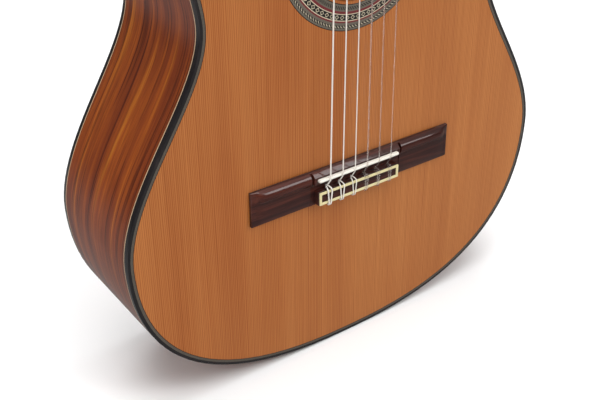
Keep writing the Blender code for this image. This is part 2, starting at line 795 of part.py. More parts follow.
def button_mesh():
    """An oval knob with a waist, along y from the end of its shaft."""
    thick, tall, wide = BUTTON_SIZE
    start = SHAFT_Y[1] + GAP
    bm = bmesh.new()
    turns = [2 * math.pi * i / 12 for i in range(12)]
    profile = ((0.0, 0.45), (0.25, 0.85), (0.65, 1.0), (0.92, 0.85), (1.0, 0.55))
    sections = []
    for along, share in profile:
        half_thick, half_wide = thick / 2 * min(1.0, share + 0.1), wide / 2 * share
        y = start + tall * along
        sections.append([(half_thick * math.sin(a), y, half_wide * math.cos(a)) for a in turns])
    skin(bm, sections)
    return mesh_from("button", bm)


def make_machines(head):
    roller, worm, button = roller_mesh(), worm_mesh(), button_mesh()
    wheel_middle = sum(GEAR_X) / 2
    for word, side in (("bass", -1), ("treble", 1)):
        make_tuner_plate(word, side, head)
        for i, roller_z in enumerate(ROLLER_Z):
            number = TUNER_STRINGS[word][i]
            turned = (0.0, 0.0, 0.0 if side > 0 else math.pi)
            barrel = place(f"tuner_roller_{number}", roller, "brass", head, (0, ROLLER_Y, roller_z), turned)
            wheel = side_wheel(f"wheel_{number}", head, (side * wheel_middle, ROLLER_Y, roller_z))
            boolean(barrel, wheel, "UNION")
            shaft_place = (side * WORM_X, 0.0, roller_z - WORM_DROP)
            place(f"tuner_worm_{number}", worm, "brass", head, shaft_place)
            place(f"tuner_button_{number}", button, "pearl", head, shaft_place)


def side_wheel(name, head, location):
    """A worm wheel about x."""
    curve = flat_curve(name, [gear_outline()], GEAR_X[1] - GEAR_X[0], "brass")
    return as_mesh(place(name, curve, None, head, location, (math.pi / 2, 0, math.pi / 2)))


# ---------------------------------------------------------------- bridge and strings
def make_bridge():
    """Two low wings with a ridge, and between them a thin base with a tie block and a saddle block."""
    low, high = BRIDGE_LOW, BRIDGE_HIGH
    wing = [(low + inset, height) for inset, height in WING_LOW_EDGE]
    wing += [(high - inset, height) for inset, height in WING_HIGH_EDGE]
    bridge = side_plate("bridge", [(low, GAP)] + wing + [(high, GAP)], BRIDGE_HALF, "rosewood")
    over, past = 0.02, 0.001
    sunk = [(low - past, BASE_HEIGHT), (high + past, BASE_HEIGHT), (high + past, over), (low - past, over)]
    boolean(bridge, side_plate("between_wings", sunk, WING_INNER_X, "rosewood"))
    tie = block_profile(*TIE_BLOCK_Z, TIE_BLOCK_TOP)
    boolean(bridge, side_plate("tie_block", tie, TIE_BLOCK_HALF, "rosewood"), "UNION")
    seat = block_profile(SADDLE_BLOCK_Z[0], SADDLE_BLOCK_BACK, SADDLE_BLOCK_TOP)
    seat.insert(3, (SADDLE_BLOCK_Z[1], BASE_HEIGHT + 0.0006))
    seat[-1] = (SADDLE_BLOCK_Z[1], BASE_HEIGHT - 0.001)
    boolean(bridge, side_plate("saddle_block", seat, SADDLE_BLOCK_HALF, "rosewood"), "UNION")
    slot_half = SADDLE_HALF[1] + GAP
    slot = [(SADDLE_Z - slot_half, SADDLE_LOW - GAP), (SADDLE_Z + slot_half, SADDLE_LOW - GAP)]
    slot += [(SADDLE_Z + slot_half, 0.012), (SADDLE_Z - slot_half, 0.012)]
    boolean(bridge, side_plate("saddle_slot", slot, SADDLE_HALF[0] + GAP, "rosewood"))
    y = FRONT_Y - TIE_HOLE_HEIGHT
    for number, (radius, x, _, _) in STRINGS.items():
        start, end = (x, y, low - 0.001), (x, y, TIE_BLOCK_Z[1] + 0.001)
        boolean(bridge, rod(f"tie_hole_{number}", radius + GAP, start, end, "rosewood", sides=10))
    box(
        "saddle",
        (-SADDLE_HALF[0], FRONT_Y - SADDLE_TOP, SADDLE_Z - SADDLE_HALF[1]),
        (SADDLE_HALF[0], FRONT_Y - SADDLE_LOW, SADDLE_Z + SADDLE_HALF[1]),
        "bone",
    )
    half = TIE_BLOCK_HALF - FRAME_EDGE
    low, high = TIE_BLOCK_Z[0] + FRAME_EDGE, TIE_BLOCK_Z[1] - FRAME_EDGE
    outer = rectangle(half, low, high)
    inner = rectangle(half - FRAME_WIDE, low + FRAME_WIDE, high - FRAME_WIDE)
    top = FRONT_Y - TIE_BLOCK_TOP - GAP
    front_plate("tie_block_frame", [outer, inner], FRONT_Y - FRAME_TOP, top, "bone")


def block_profile(low, high, top):
    """A block on the bridge's base, rooted in it."""
    root = BASE_HEIGHT - 0.001
    return [(low, root), (low, top), (high, top), (high, root)]


def rectangle(half_x, low_z, high_z):
    return [(-half_x, low_z), (half_x, low_z), (half_x, high_z), (-half_x, high_z)]


def make_strings():
    """Each runs from its hole in the tie block over the saddle and the nut to its roller."""
    lean = Matrix.Rotation(-HEAD_TILT, 3, "X")
    for number, (radius, saddle_x, nut_x, roller_x) in STRINGS.items():
        over_saddle = SADDLE_TOP + GAP + radius
        over_nut = NUT_SLOT + GAP + radius
        word = "bass" if saddle_x < 0 else "treble"
        roller_z = ROLLER_Z[TUNER_STRINGS[word].index(number)]
        seat = HEAD_ORIGIN + lean @ Vector((roller_x, ROLLER_Y - ROLLER_R - GAP - radius, roller_z))
        points = [
            (saddle_x, FRONT_Y - TIE_HOLE_HEIGHT, BRIDGE_LOW + GAP),
            (saddle_x, FRONT_Y - TIE_HOLE_HEIGHT, TIE_BLOCK_Z[1] + 0.0012),
            (saddle_x, FRONT_Y - over_saddle, SADDLE_Z - SADDLE_HALF[1]),
            (saddle_x, FRONT_Y - over_saddle, SADDLE_Z + SADDLE_HALF[1]),
            (nut_x, FRONT_Y - over_nut, NUT_Z),
            (nut_x, FRONT_Y - over_nut, NUT_Z + NUT_LONG + GAP),
            tuple(seat),
        ]
        tube(f"string_{number}", points, radius, "nylon" if number < 4 else "wound_silver")


def build():
    """Makes every piece. The head and its machines hang on an empty that carries the head's tilt."""
    make_soundboard()
    make_rims()
    make_back("back_bass", -1)
    make_back("back_treble", 1)
    make_blocks()
    make_top_braces()
    make_back_braces()
    make_neck()
    make_fingerboard()
    make_nut()
    head = bpy.data.objects.new("head_frame", None)
    PARTS.objects.link(head)
    head.location = HEAD_ORIGIN
    head.rotation_euler = (-HEAD_TILT, 0, 0)
    make_head(head)
    make_machines(head)
    make_bridge()
    make_strings()


for old in list(bpy.data.objects):
    bpy.data.objects.remove(old, do_unlink=True)
PARTS = new_collection("classical_guitar")
CUTTERS = new_collection("cutters")
build()
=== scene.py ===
"""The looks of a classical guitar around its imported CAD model, in metres, in the model's own frame.

+Z runs up the neck, +X is the treble side, and the soundboard faces -Y. A depth is a distance behind the
soundboard's outer face, and a height is a distance in front of it.
"""

import json
import math

import bmesh
import bpy
from mathutils import Matrix, Vector

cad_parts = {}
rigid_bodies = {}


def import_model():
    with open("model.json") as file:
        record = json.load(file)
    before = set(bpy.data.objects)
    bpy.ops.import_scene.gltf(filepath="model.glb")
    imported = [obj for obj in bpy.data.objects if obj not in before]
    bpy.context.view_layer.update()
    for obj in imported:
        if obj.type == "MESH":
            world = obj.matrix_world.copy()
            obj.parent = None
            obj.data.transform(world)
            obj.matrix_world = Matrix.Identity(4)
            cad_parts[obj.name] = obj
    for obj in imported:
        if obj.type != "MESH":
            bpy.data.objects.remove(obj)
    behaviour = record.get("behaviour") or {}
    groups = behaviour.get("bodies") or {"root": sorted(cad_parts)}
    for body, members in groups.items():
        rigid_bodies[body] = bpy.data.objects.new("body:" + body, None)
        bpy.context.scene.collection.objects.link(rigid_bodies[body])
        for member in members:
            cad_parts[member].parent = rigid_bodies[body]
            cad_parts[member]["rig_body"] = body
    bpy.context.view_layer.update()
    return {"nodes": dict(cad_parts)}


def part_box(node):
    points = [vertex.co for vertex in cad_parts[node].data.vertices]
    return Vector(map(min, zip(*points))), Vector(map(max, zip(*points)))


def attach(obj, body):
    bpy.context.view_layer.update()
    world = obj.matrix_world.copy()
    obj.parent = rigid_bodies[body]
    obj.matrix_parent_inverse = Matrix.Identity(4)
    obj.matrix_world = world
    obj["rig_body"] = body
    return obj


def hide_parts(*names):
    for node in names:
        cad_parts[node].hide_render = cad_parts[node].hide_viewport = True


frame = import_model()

# ---- sizes shared with the CAD model
GAP = 0.0003
FRONT_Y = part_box("soundboard")[0].y
BODY_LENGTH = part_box("top_binding")[1].z
NUT_LOW, NUT_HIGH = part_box("nut")
HEAD_TILT = math.radians(15)
HEAD_ORIGIN = Vector((0.0, FRONT_Y, NUT_HIGH.z + GAP))
HEAD = Matrix.Translation(HEAD_ORIGIN) @ Matrix.Rotation(-HEAD_TILT, 4, "X")

TAIL_DEPTH, HEEL_DEPTH, BACK_RISE, BACK_RADIUS = 0.0990, 0.0950, 0.006, 4.5
TAIL_FLAT, SHOULDER_X = 0.006, 0.033
OUTLINE = (
    ((TAIL_FLAT, 0.0), None, (0.1426, 0.0)),
    ((0.1845, 0.1325), (0.1845, 0.0645), (0.1845, 0.186)),
    ((0.1205, 0.2815), (0.1205, 0.2405), (0.1205, 0.306)),
    ((0.1425, 0.398), (0.1425, 0.355), (0.1425, 0.444)),
    ((SHOULDER_X, BODY_LENGTH), (0.086, BODY_LENGTH), None),
)
OUTLINE_STEPS = 26  # for each stretch of the outline

TOP_THICK = BACK_THICK = 0.0025
BINDING = (0.0025, 0.0040)  # width on the face, height on the side
PURFLING_END, DARK_LINE_END = 0.0042, 0.0047  # insets from the rim on the soundboard
PALE_LINE = 0.0008  # width of the maple lines beside the bindings
WEDGE_HALF = 0.004
SOUNDHOLE_Z, SOUNDHOLE_R = 0.319, 0.0430
ROSETTE_R = (0.0450, 0.0633)
ROSETTE_THICK = 0.0010

SCALE = 0.650
FRET_COUNT = 19
BOARD_TALL = 0.0055
NUT_HALF, JOINT_HALF = 0.026, 0.031

BRIDGE_LOW, BRIDGE_HIGH = 0.132, 0.159
BRIDGE_HALF, WING_INNER_X = 0.0905, 0.0415
BASE_HEIGHT = 0.0028
TIE_BLOCK_Z = (0.1331, 0.1442)
TIE_BLOCK_HALF, TIE_BLOCK_TOP = 0.0370, 0.0074
SADDLE_BLOCK_Z, SADDLE_BLOCK_BACK = (0.1498, 0.1587), 0.1556
SADDLE_BLOCK_HALF, SADDLE_BLOCK_TOP = 0.0394, 0.0066
SADDLE_LOW, SADDLE_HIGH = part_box("saddle")
TIE_HOLE_HEIGHT = 0.0045

# String number: radius, x at the saddle, x at the nut, x at the roller
STRINGS = {
    1: (0.00036, 0.0280, 0.0215, 0.0190),
    2: (0.00041, 0.0168, 0.0129, 0.0150),
    3: (0.00051, 0.0056, 0.0043, 0.0125),
    4: (0.00038, -0.0056, -0.0043, -0.0125),
    5: (0.00045, -0.0168, -0.0129, -0.0150),
    6: (0.00055, -0.0280, -0.0215, -0.0190),
}
NUT_SLOT = 0.0075
TUNERS = {"bass": (6, 5, 4), "treble": (1, 2, 3)}  # from the nut upwards
ROLLER_Z = (0.048, 0.083, 0.118)
ROLLER_Y, ROLLER_R = 0.009, 0.005
GEAR_TEETH = 14
GEAR_R = 0.0070
GEAR_X = (0.0396, 0.0420)
WORM_X, WORM_DROP = 0.0408, 0.0103
WORM_LEAD = 2 * math.pi * GEAR_R / GEAR_TEETH
HEAD_THICK = 0.018
BUTTON_Y = 0.0243  # where a button starts, along its worm's shaft


# ---- materials
class Finish:
    """A procedural material under construction: node() adds a node and links or sets its inputs."""

    def __init__(self, name, slot, **shader_values):
        self.material = bpy.data.materials.new(name)
        self.material.use_nodes = True
        self.material["slot"] = slot
        self.tree = self.material.node_tree
        self.shader = self.tree.nodes["Principled BSDF"]
        for socket, value in shader_values.items():
            self.shader.inputs[socket.replace("_", " ")].default_value = value

    def node(self, kind, settings=None, **inputs):
        made = self.tree.nodes.new("ShaderNode" + kind)
        for attribute, value in (settings or {}).items():
            setattr(made, attribute, value)
        for socket, value in inputs.items():
            self.put(made, socket, value)
        return made

    def put(self, node, socket, value):
        target = node.inputs[socket]
        if isinstance(value, bpy.types.NodeSocket):
            self.tree.links.new(value, target)
        else:
            target.default_value = value

    def coords(self, scale, source="Object"):
        texture = self.node("TexCoord")
        mapped = self.node("Mapping", Vector=texture.outputs[source], Scale=scale)
        return mapped.outputs["Vector"]

    def noise(self, coords, detail, roughness=0.55, distortion=0.0):
        made = self.node(
            "TexNoise", Vector=coords, Scale=1.0, Detail=detail, Roughness=roughness, Distortion=distortion
        )
        return made.outputs["Fac"]

    def ramp(self, factor, stops):
        made = self.node("ValToRGB", Fac=factor)
        elements = made.color_ramp.elements
        while len(elements) < len(stops):
            elements.new(0.5)
        for element, (position, colour) in zip(elements, stops):
            element.position = position
            element.color = (*colour, 1.0)
        return made.outputs["Color"]

    def mix(self, factor, a, b, blend="MIX"):
        made = self.node("Mix", {"data_type": "RGBA", "blend_type": blend})
        self.put(made, 0, factor)
        self.put(made, 6, a if isinstance(a, bpy.types.NodeSocket) else (*a, 1.0))
        self.put(made, 7, b if isinstance(b, bpy.types.NodeSocket) else (*b, 1.0))
        return made.outputs[2]

    def shade(self, amount, tone, mask, stops):
        """A tone multiplied, by that amount, by a ramp of the mask."""
        return self.mix(amount, tone, self.ramp(mask, stops), "MULTIPLY")

    def bump(self, height, strength, distance):
        made = self.node("Bump", Strength=strength, Distance=distance, Height=height)
        self.put(self.shader, "Normal", made.outputs["Normal"])

    def colour(self, value):
        self.put(self.shader, "Base Color", value)

    def roughness(self, factor, low, high):
        made = self.node("MapRange", Value=factor)
        made.inputs["To Min"].default_value = low
        made.inputs["To Max"].default_value = high
        self.put(self.shader, "Roughness", made.outputs["Result"])


def cedar():
    """Straight, fine vertical grain under a gloss lacquer, with broad paler and redder bands."""
    lacquer = {"Coat_Weight": 0.55, "Coat_Roughness": 0.02, "Coat_IOR": 1.5, "Specular_IOR_Level": 0.1}
    f = Finish("cedar", "cedar_top", **lacquer)
    lines = f.node(
        "TexWave",
        {"wave_type": "BANDS", "bands_direction": "X", "wave_profile": "SIN"},
        Vector=f.coords((1000, 1000, 9)),
        Scale=0.235,
        Distortion=6.0,
        Detail=3.0,
    )
    lines.inputs["Detail Scale"].default_value = 1.1
    fibres = f.noise(f.coords((2600, 2600, 45)), 3.0, 0.6)
    bands = f.noise(f.coords((46, 46, 2.2)), 3.0, 0.5)
    years = f.noise(f.coords((420, 420, 3.0)), 2.0, 0.6)
    wide = f.noise(f.coords((9, 9, 2.6)), 2.0, 0.5)
    band_stops = ((0.30, (0.350, 0.108, 0.023)), (0.52, (0.405, 0.138, 0.032)), (0.72, (0.450, 0.166, 0.043)))
    tone = f.ramp(bands, band_stops)
    tone = f.mix(0.35, tone, f.ramp(wide, ((0.35, (0.330, 0.096, 0.021)), (0.65, (0.470, 0.188, 0.056)))))
    tone = f.shade(0.45, tone, years, ((0.3, (0.80, 0.72, 0.62)), (0.7, (1.08, 1.10, 1.12))))
    grain_stops = ((0.0, (0.70, 0.56, 0.44)), (0.34, (1.00, 0.99, 0.97)), (1.0, (1.13, 1.15, 1.17)))
    tone = f.mix(0.90, tone, f.ramp(lines.outputs["Fac"], grain_stops), "MULTIPLY")
    tone = f.shade(0.30, tone, fibres, ((0.3, (0.72, 0.66, 0.60)), (0.7, (1.12, 1.12, 1.12))))
    f.colour(tone)
    f.roughness(fibres, 0.32, 0.48)
    f.bump(lines.outputs["Fac"], 0.05, 0.0002)
    return f.material


def streaked(name, slot, stops, stretch, gloss, coat=1.0, pores=0.5, source="Object", streaks=0.0):
    """A hardwood with its figure stretched along the grain: broad tones, dark streaks and fine pores."""
    f = Finish(name, slot, Coat_Weight=coat, Coat_Roughness=gloss, Coat_IOR=1.5, Specular_IOR_Level=0.15)
    broad, fine = stretch
    figure = f.noise(f.coords(broad, source), 5.0, 0.62, 0.6)
    grain = f.noise(f.coords(fine, source), 4.0, 0.65)
    tone = f.ramp(figure, stops)
    if streaks:
        long = tuple(v * (4.2 if v == max(broad) else 1.4) for v in broad)
        veins = f.noise(f.coords(long, source), 4.0, 0.55, 0.9)
        vein_stops = ((0.36, (0.22, 0.13, 0.10)), (0.47, (0.92, 0.90, 0.88)), (0.70, (1.15, 1.12, 1.10)))
        tone = f.shade(streaks, tone, veins, vein_stops)
    tone = f.shade(pores, tone, grain, ((0.34, (0.38, 0.30, 0.26)), (0.56, (1.0, 1.0, 1.0))))
    f.colour(tone)
    f.roughness(grain, 0.42, 0.30)
    f.bump(grain, 0.04, 0.0002)
    return f.material


def plain(name, slot, colour, roughness=0.35, metallic=0.0, speck=0.12, scale=900.0, bump=0.05, **values):
    """One colour with a fine mottle in its tone, roughness and surface."""
    f = Finish(name, slot, Metallic=metallic, **values)
    mottle = f.noise(f.coords((scale, scale, scale)), 4.0, 0.6)
    low = tuple(c * (1 - speck) for c in colour)
    high = tuple(min(1.0, c * (1 + speck)) for c in colour)
    f.colour(f.ramp(mottle, ((0.3, low), (0.7, high))))
    f.roughness(mottle, roughness * 0.8, min(1.0, roughness * 1.25))
    if bump:
        f.bump(mottle, bump, 0.0002)
    return f.material


def wound_metal():
    """Fine silver-plated turns round the string."""
    f = Finish("silver_winding", "silver_wound", Metallic=0.2)
    turns = f.node(
        "TexWave", {"wave_type": "BANDS", "bands_direction": "Z"}, Vector=f.coords((1, 1, 1000)), Scale=1.1
    )
    f.colour(f.ramp(turns.outputs["Fac"], ((0.0, (0.80, 0.74, 0.66)), (1.0, (0.98, 0.95, 0.90)))))
    f.roughness(turns.outputs["Fac"], 0.50, 0.36)
    f.bump(turns.outputs["Fac"], 0.25, 0.00005)
    return f.material


def clear_nylon():
    f = Finish("clear_nylon", "clear_nylon", Roughness=0.10, IOR=1.45, Transmission_Weight=0.94)
    haze = f.noise(f.coords((60, 60, 300)), 2.0)
    f.colour(f.ramp(haze, ((0.3, (0.88, 0.80, 0.74)), (0.7, (0.95, 0.90, 0.86)))))
    return f.material


def pearl():
    f = Finish("pearl_button", "pearl_button", Coat_Weight=0.6, Coat_Roughness=0.06)
    swirl = f.noise(f.coords((120, 160, 260)), 4.0, 0.6, 2.4)
    tone = f.ramp(swirl, ((0.25, (0.60, 0.55, 0.46)), (0.5, (0.80, 0.77, 0.70)), (0.75, (0.93, 0.91, 0.86))))
    f.colour(tone)
    f.roughness(swirl, 0.16, 0.30)
    return f.material


ROSEWOOD_STOPS = (
    (0.28, (0.095, 0.016, 0.004)),
    (0.44, (0.200, 0.036, 0.006)),
    (0.58, (0.300, 0.064, 0.007)),
    (0.74, (0.480, 0.150, 0.014)),
)
DARK_ROSEWOOD_STOPS = (
    (0.25, (0.012, 0.003, 0.003)),
    (0.50, (0.040, 0.010, 0.007)),
    (0.75, (0.110, 0.025, 0.014)),
)
MAHOGANY_STOPS = ((0.25, (0.120, 0.040, 0.018)), (0.55, (0.210, 0.080, 0.036)), (0.80, (0.300, 0.125, 0.060)))
EBONY_STOPS = ((0.2, (0.006, 0.005, 0.006)), (0.6, (0.014, 0.011, 0.012)), (0.85, (0.034, 0.024, 0.022)))
INNER_STOPS = ((0.25, (0.250, 0.105, 0.045)), (0.55, (0.420, 0.200, 0.095)), (0.80, (0.560, 0.300, 0.150)))
SPRUCE_STOPS = ((0.25, (0.450, 0.290, 0.150)), (0.55, (0.620, 0.440, 0.250)), (0.80, (0.720, 0.550, 0.340)))
ALONG_Z = ((90, 90, 5), (2200, 2200, 60))
LONG_Z = ((80, 80, 2.4), (2200, 2200, 40))
ALONG_X = ((6, 160, 160), (60, 1800, 1800))
ALONG_UV = ((4.0, 95, 1), (45, 1900, 1))


def make_materials():
    made = {
        "cedar": cedar(),
        "side": streaked(
            "rosewood_side", "rosewood", ROSEWOOD_STOPS, ALONG_UV, 0.025, 0.6, source="UV", streaks=0.75
        ),
        "back": streaked("rosewood_back", "rosewood", ROSEWOOD_STOPS, LONG_Z, 0.025, 0.6, streaks=0.75),
        "bridge": streaked("rosewood_bridge", "rosewood", DARK_ROSEWOOD_STOPS, ALONG_X, 0.05, coat=0.45),
        "veneer": streaked("rosewood_veneer", "rosewood", DARK_ROSEWOOD_STOPS, ALONG_Z, 0.04),
        "ebony": streaked("ebony", "ebony", EBONY_STOPS, ALONG_Z, 0.06, coat=0.8),
        "board": streaked("ebony_board", "ebony", EBONY_STOPS, ALONG_Z, 0.25, coat=0.15),
        "neck": streaked("neck_wood", "cedar_neck", MAHOGANY_STOPS, ALONG_Z, 0.16, coat=0.5),
        "inner": streaked("inner_wood", "inner_wood", INNER_STOPS, ALONG_Z, 0.5, coat=0.0),
        "spruce": streaked("spruce", "spruce", SPRUCE_STOPS, ALONG_Z, 0.5, coat=0.0),
        "spruce_across": streaked("spruce_across", "spruce", SPRUCE_STOPS, ALONG_X, 0.5, coat=0.0),
        "wound": wound_metal(),
        "nylon": clear_nylon(),
        "pearl": pearl(),
    }
    lacquer = {"Coat_Weight": 0.5, "Coat_Roughness": 0.045, "Specular_IOR_Level": 0.2}
    for key, colour in (
        ("tile_black", (0.006, 0.005, 0.005)),
        ("tile_grey", (0.120, 0.104, 0.080)),
        ("tile_cream", (0.560, 0.490, 0.350)),
        ("tile_red", (0.150, 0.014, 0.018)),
    ):
        made[key] = plain(key, "rosette_mosaic", colour, 0.4, speck=0.25, scale=1500, **lacquer)
    for key, name, slot, colour, speck in (
        ("purfling", "ash_purfling", "ebony", (0.082, 0.068, 0.052), 0.2),
        ("dark_line", "dark_line", "ebony", (0.030, 0.014, 0.008), 0.12),
        ("maple", "maple_line", "spruce", (0.520, 0.360, 0.220), 0.15),
    ):
        made[key] = plain(name, slot, colour, 0.4, speck=speck, **lacquer)
    made["bone"] = plain("bone_white", "bone", (0.800, 0.770, 0.690), 0.28, speck=0.05, Coat_Weight=0.3)
    made["ivory"] = plain("ivory_frame", "bone", (0.700, 0.610, 0.330), 0.35, speck=0.08, Coat_Weight=0.3)
    made["brass"] = plain("gilt_brass", "gilt_brass", (0.720, 0.500, 0.210), 0.24, 1.0, speck=0.10, scale=500)
    made["steel"] = plain("fret_metal", "gilt_brass", (0.640, 0.620, 0.570), 0.22, 1.0, speck=0.06)
    made["sleeve"] = plain("roller_sleeve", "roller_metal", (0.720, 0.680, 0.600), 0.30, speck=0.05)
    made["paper"] = plain("label_paper", "bone", (0.640, 0.560, 0.420), 0.85, speck=0.08, bump=0.1)
    return made


# ---- objects
def add(name, data, material, body="guitar", replaces=(), at=None):
    """Adds a finished piece, riding on a body."""
    obj = bpy.data.objects.new(name, data)
    bpy.context.scene.collection.objects.link(obj)
    if at is not None:
        obj.matrix_world = at
    if material is not None:
        data.materials.clear()
        data.materials.append(MATERIALS[material])
    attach(obj, body)
    if replaces:
        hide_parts(*([replaces] if isinstance(replaces, str) else replaces))
    return obj


def to_mesh(name, bm, sharp=32.0, closed=True):
    if closed:
        bmesh.ops.recalc_face_normals(bm, faces=bm.faces)
    mesh = bpy.data.meshes.new(name)
    bm.to_mesh(mesh)
    bm.free()
    return smoothed(mesh, sharp)


def smoothed(mesh, sharp):
    """The mesh shaded smooth, but for its edges of more than sharp degrees."""
    mesh.shade_smooth()
    mesh.set_sharp_from_angle(angle=math.radians(sharp))
    return mesh


def skinned(name, rings, sharp=32.0, closed=False):
    """A mesh with a skin over rings of points. closed joins the last ring to the first one."""
    bm = bmesh.new()
    rows = [[bm.verts.new(point) for point in ring] for ring in rings]
    count = len(rows[0])
    for near, far in list(zip(rows, rows[1:])) + ([(rows[-1], rows[0])] if closed else []):
        for i in range(count):
            j = (i + 1) % count
            bm.faces.new((near[i], near[j], far[j], far[i]))
    if not closed:
        bm.faces.new(rows[0])
        bm.faces.new(rows[-1])
    return to_mesh(name, bm, sharp)


def evaluated_mesh(obj):
    """obj's mesh with its modifiers applied. obj is removed."""
    bpy.context.view_layer.update()
    mesh = bpy.data.meshes.new_from_object(obj.evaluated_get(bpy.context.evaluated_depsgraph_get()))
    mesh.transform(obj.matrix_world)
    bpy.data.objects.remove(obj, do_unlink=True)
    return mesh


def loose(data):
    """A plain scene object for a modifier to work on."""
    obj = bpy.data.objects.new("work", data)
    bpy.context.scene.collection.objects.link(obj)
    return obj


def bevelled(mesh, width, segments=2):
    """The mesh with its edges rounded."""
    obj = loose(mesh)
    bevel = obj.modifiers.new("edges", "BEVEL")
    bevel.width = width
    bevel.segments = segments
    bevel.limit_method = "ANGLE"
    bevel.angle_limit = math.radians(30)
    bevel.miter_outer = "MITER_ARC"
    return weighted(smoothed(evaluated_mesh(obj), 40))


def weighted(mesh):
    """The mesh with its large flat faces shading flat and only its small rounded edges shading round."""
    obj = loose(mesh)
    obj.modifiers.new("normals", "WEIGHTED_NORMAL").keep_sharp = True
    return evaluated_mesh(obj)


def cut(mesh, cutters):
    """The mesh with each cutter mesh taken away from it."""
    obj = loose(mesh)
    others = [loose(cutter) for cutter in cutters]
    for other in others:
        modifier = obj.modifiers.new("cut", "BOOLEAN")
        modifier.operation = "DIFFERENCE"
        modifier.object = other
        modifier.solver = "EXACT"
    made = evaluated_mesh(obj)
    for other in others:
        bpy.data.objects.remove(other, do_unlink=True)
    left_over = made.attributes.get("custom_normal")
    if left_over:
        made.attributes.remove(left_over)
    return weighted(smoothed(made, 35))


def plate_mesh(outlines, low_y, high_y, edge=0.0):
    """Outlines in x and z made solid between two y values, with its edges rounded by edge."""
    curve = bpy.data.curves.new("plate", "CURVE")
    curve.dimensions = "2D"
    curve.fill_mode = "BOTH"
    curve.extrude = (high_y - low_y) / 2 - edge
    curve.bevel_depth = edge
    curve.bevel_resolution = 1
    curve.offset = -edge
    for outline in outlines:
        spline = curve.splines.new("POLY")
        spline.points.add(len(outline) - 1)
        for point, (a, b) in zip(spline.points, outline):
            point.co = (a, b, 0.0, 1.0)
        spline.use_cyclic_u = True
    obj = loose(curve)
    obj.location = (0, (low_y + high_y) / 2, 0)
    obj.rotation_euler = (math.pi / 2, 0, 0)
    mesh = evaluated_mesh(obj)
    bm = bmesh.new()
    bm.from_mesh(mesh)
    bmesh.ops.remove_doubles(bm, verts=bm.verts, dist=1e-6)
    return weighted(to_mesh("plate", bm, 40))


def box_mesh(low, high):
    low, high = Vector(low), Vector(high)
    bm = bmesh.new()
    bmesh.ops.create_cube(bm, size=1.0)
    bmesh.ops.scale(bm, vec=high - low, verts=bm.verts)
    bmesh.ops.translate(bm, vec=(low + high) / 2, verts=bm.verts)
    return to_mesh("box", bm)


def rod_mesh(radius, start, end, sides=24):
    start, end = Vector(start), Vector(end)
    along = end - start
    bm = bmesh.new()
    shape = {"cap_ends": True, "segments": sides, "radius1": radius, "radius2": radius}
    bmesh.ops.create_cone(bm, depth=along.length, **shape)
    turn = along.to_track_quat("Z", "Y").to_matrix().to_4x4()
    bmesh.ops.transform(bm, matrix=Matrix.Translation((start + end) / 2) @ turn, verts=bm.verts)
    return to_mesh("rod", bm)


def turned_mesh(profile, start, along, sides=24):
    """A profile of (distance, radius) turned round an axis."""
    start, along = Vector(start), Vector(along).normalized()
    basis = along.to_track_quat("Z", "Y").to_matrix()
    angles = [2 * math.pi * i / sides for i in range(sides)]
    rings = []
    for distance, radius in profile:
        ring = [(radius * math.cos(a), radius * math.sin(a), distance) for a in angles]
        rings.append([start + basis @ Vector(point) for point in ring])
    return skinned("turned", rings)


def circle(centre, radius, sides=128):
    angles = [2 * math.pi / sides * i for i in range(sides)]
    return [(centre[0] + radius * math.cos(a), centre[1] + radius * math.sin(a)) for a in angles]


def joined(meshes):
    bm = bmesh.new()
    for mesh in meshes:
        bm.from_mesh(mesh)
    return to_mesh("joined", bm, 40)


def softened(node, width, material, name=None):
    """A CAD node's shape with its edges rounded."""
    bm = bmesh.new()
    bm.from_mesh(frame["nodes"][node].data)
    bmesh.ops.remove_doubles(bm, verts=bm.verts, dist=1e-6)
    bmesh.ops.dissolve_limit(bm, angle_limit=math.radians(1), verts=bm.verts, edges=bm.edges)
    mesh = bevelled(to_mesh(node, bm), width)
    return add(name or f"{node}_piece", mesh, material, frame["nodes"][node]["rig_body"], node)


def tube(name, points, radius, material, body="guitar", replaces=()):
    curve = bpy.data.curves.new(name, "CURVE")
    curve.dimensions = "3D"
    curve.bevel_depth = radius
    curve.bevel_resolution = 3
    curve.use_fill_caps = True
    spline = curve.splines.new("POLY")
    spline.points.add(len(points) - 1)
    for point, position in zip(spline.points, points):
        point.co = (*position, 1.0)
    return add(name, curve, material, body, replaces)


def smooth_path(points, steps=8):
    """A Catmull-Rom curve through points."""
    points = [Vector(p) for p in points]
    padded = [2 * points[0] - points[1]] + points + [2 * points[-1] - points[-2]]
    path = []
    for a, b, c, d in zip(padded, padded[1:], padded[2:], padded[3:]):
        slope, turn, twist = c - a, 2 * a - 5 * b + 4 * c - d, 3 * b - a - 3 * c + d
        for t in [i / steps for i in range(steps)]:
            path.append(0.5 * (2 * b + slope * t + turn * t**2 + twist * t**3))
    return path + [points[-1]]


# ---- the body
def bezier(handles, t):
    p0, p1, p2, p3 = (Vector(h) for h in handles)
    s = 1 - t
    point = s**3 * p0 + 3 * s * s * t * p1 + 3 * s * t * t * p2 + t**3 * p3
    slope = s * s * (p1 - p0) + 2 * s * t * (p2 - p1) + t * t * (p3 - p2)
    return point, slope.normalized()


def half_rim(start_x=0.0, end_x=0.0):
    """The treble half of the outline from tail to neck: points (x, z) with their inward normals."""
    samples = [(start_x, 0.0, 0.0, 1.0)]
    for (start, _, leaving), (end, arriving, _) in zip(OUTLINE, OUTLINE[1:]):
        last = end == OUTLINE[-1][0]
        for i in range(OUTLINE_STEPS + last):
            point, slope = bezier((start, leaving, arriving, end), i / OUTLINE_STEPS)
            samples.append((point.x, point.y, -slope.y, slope.x))
    return samples + [(end_x, BODY_LENGTH, 0.0, -1.0)]


def mirrored(samples):
    return [(-x, z, -nx, nz) for x, z, nx, nz in samples[::-1]]


def whole_rim():
    half = half_rim()
    return half + mirrored(half)[1:-1]


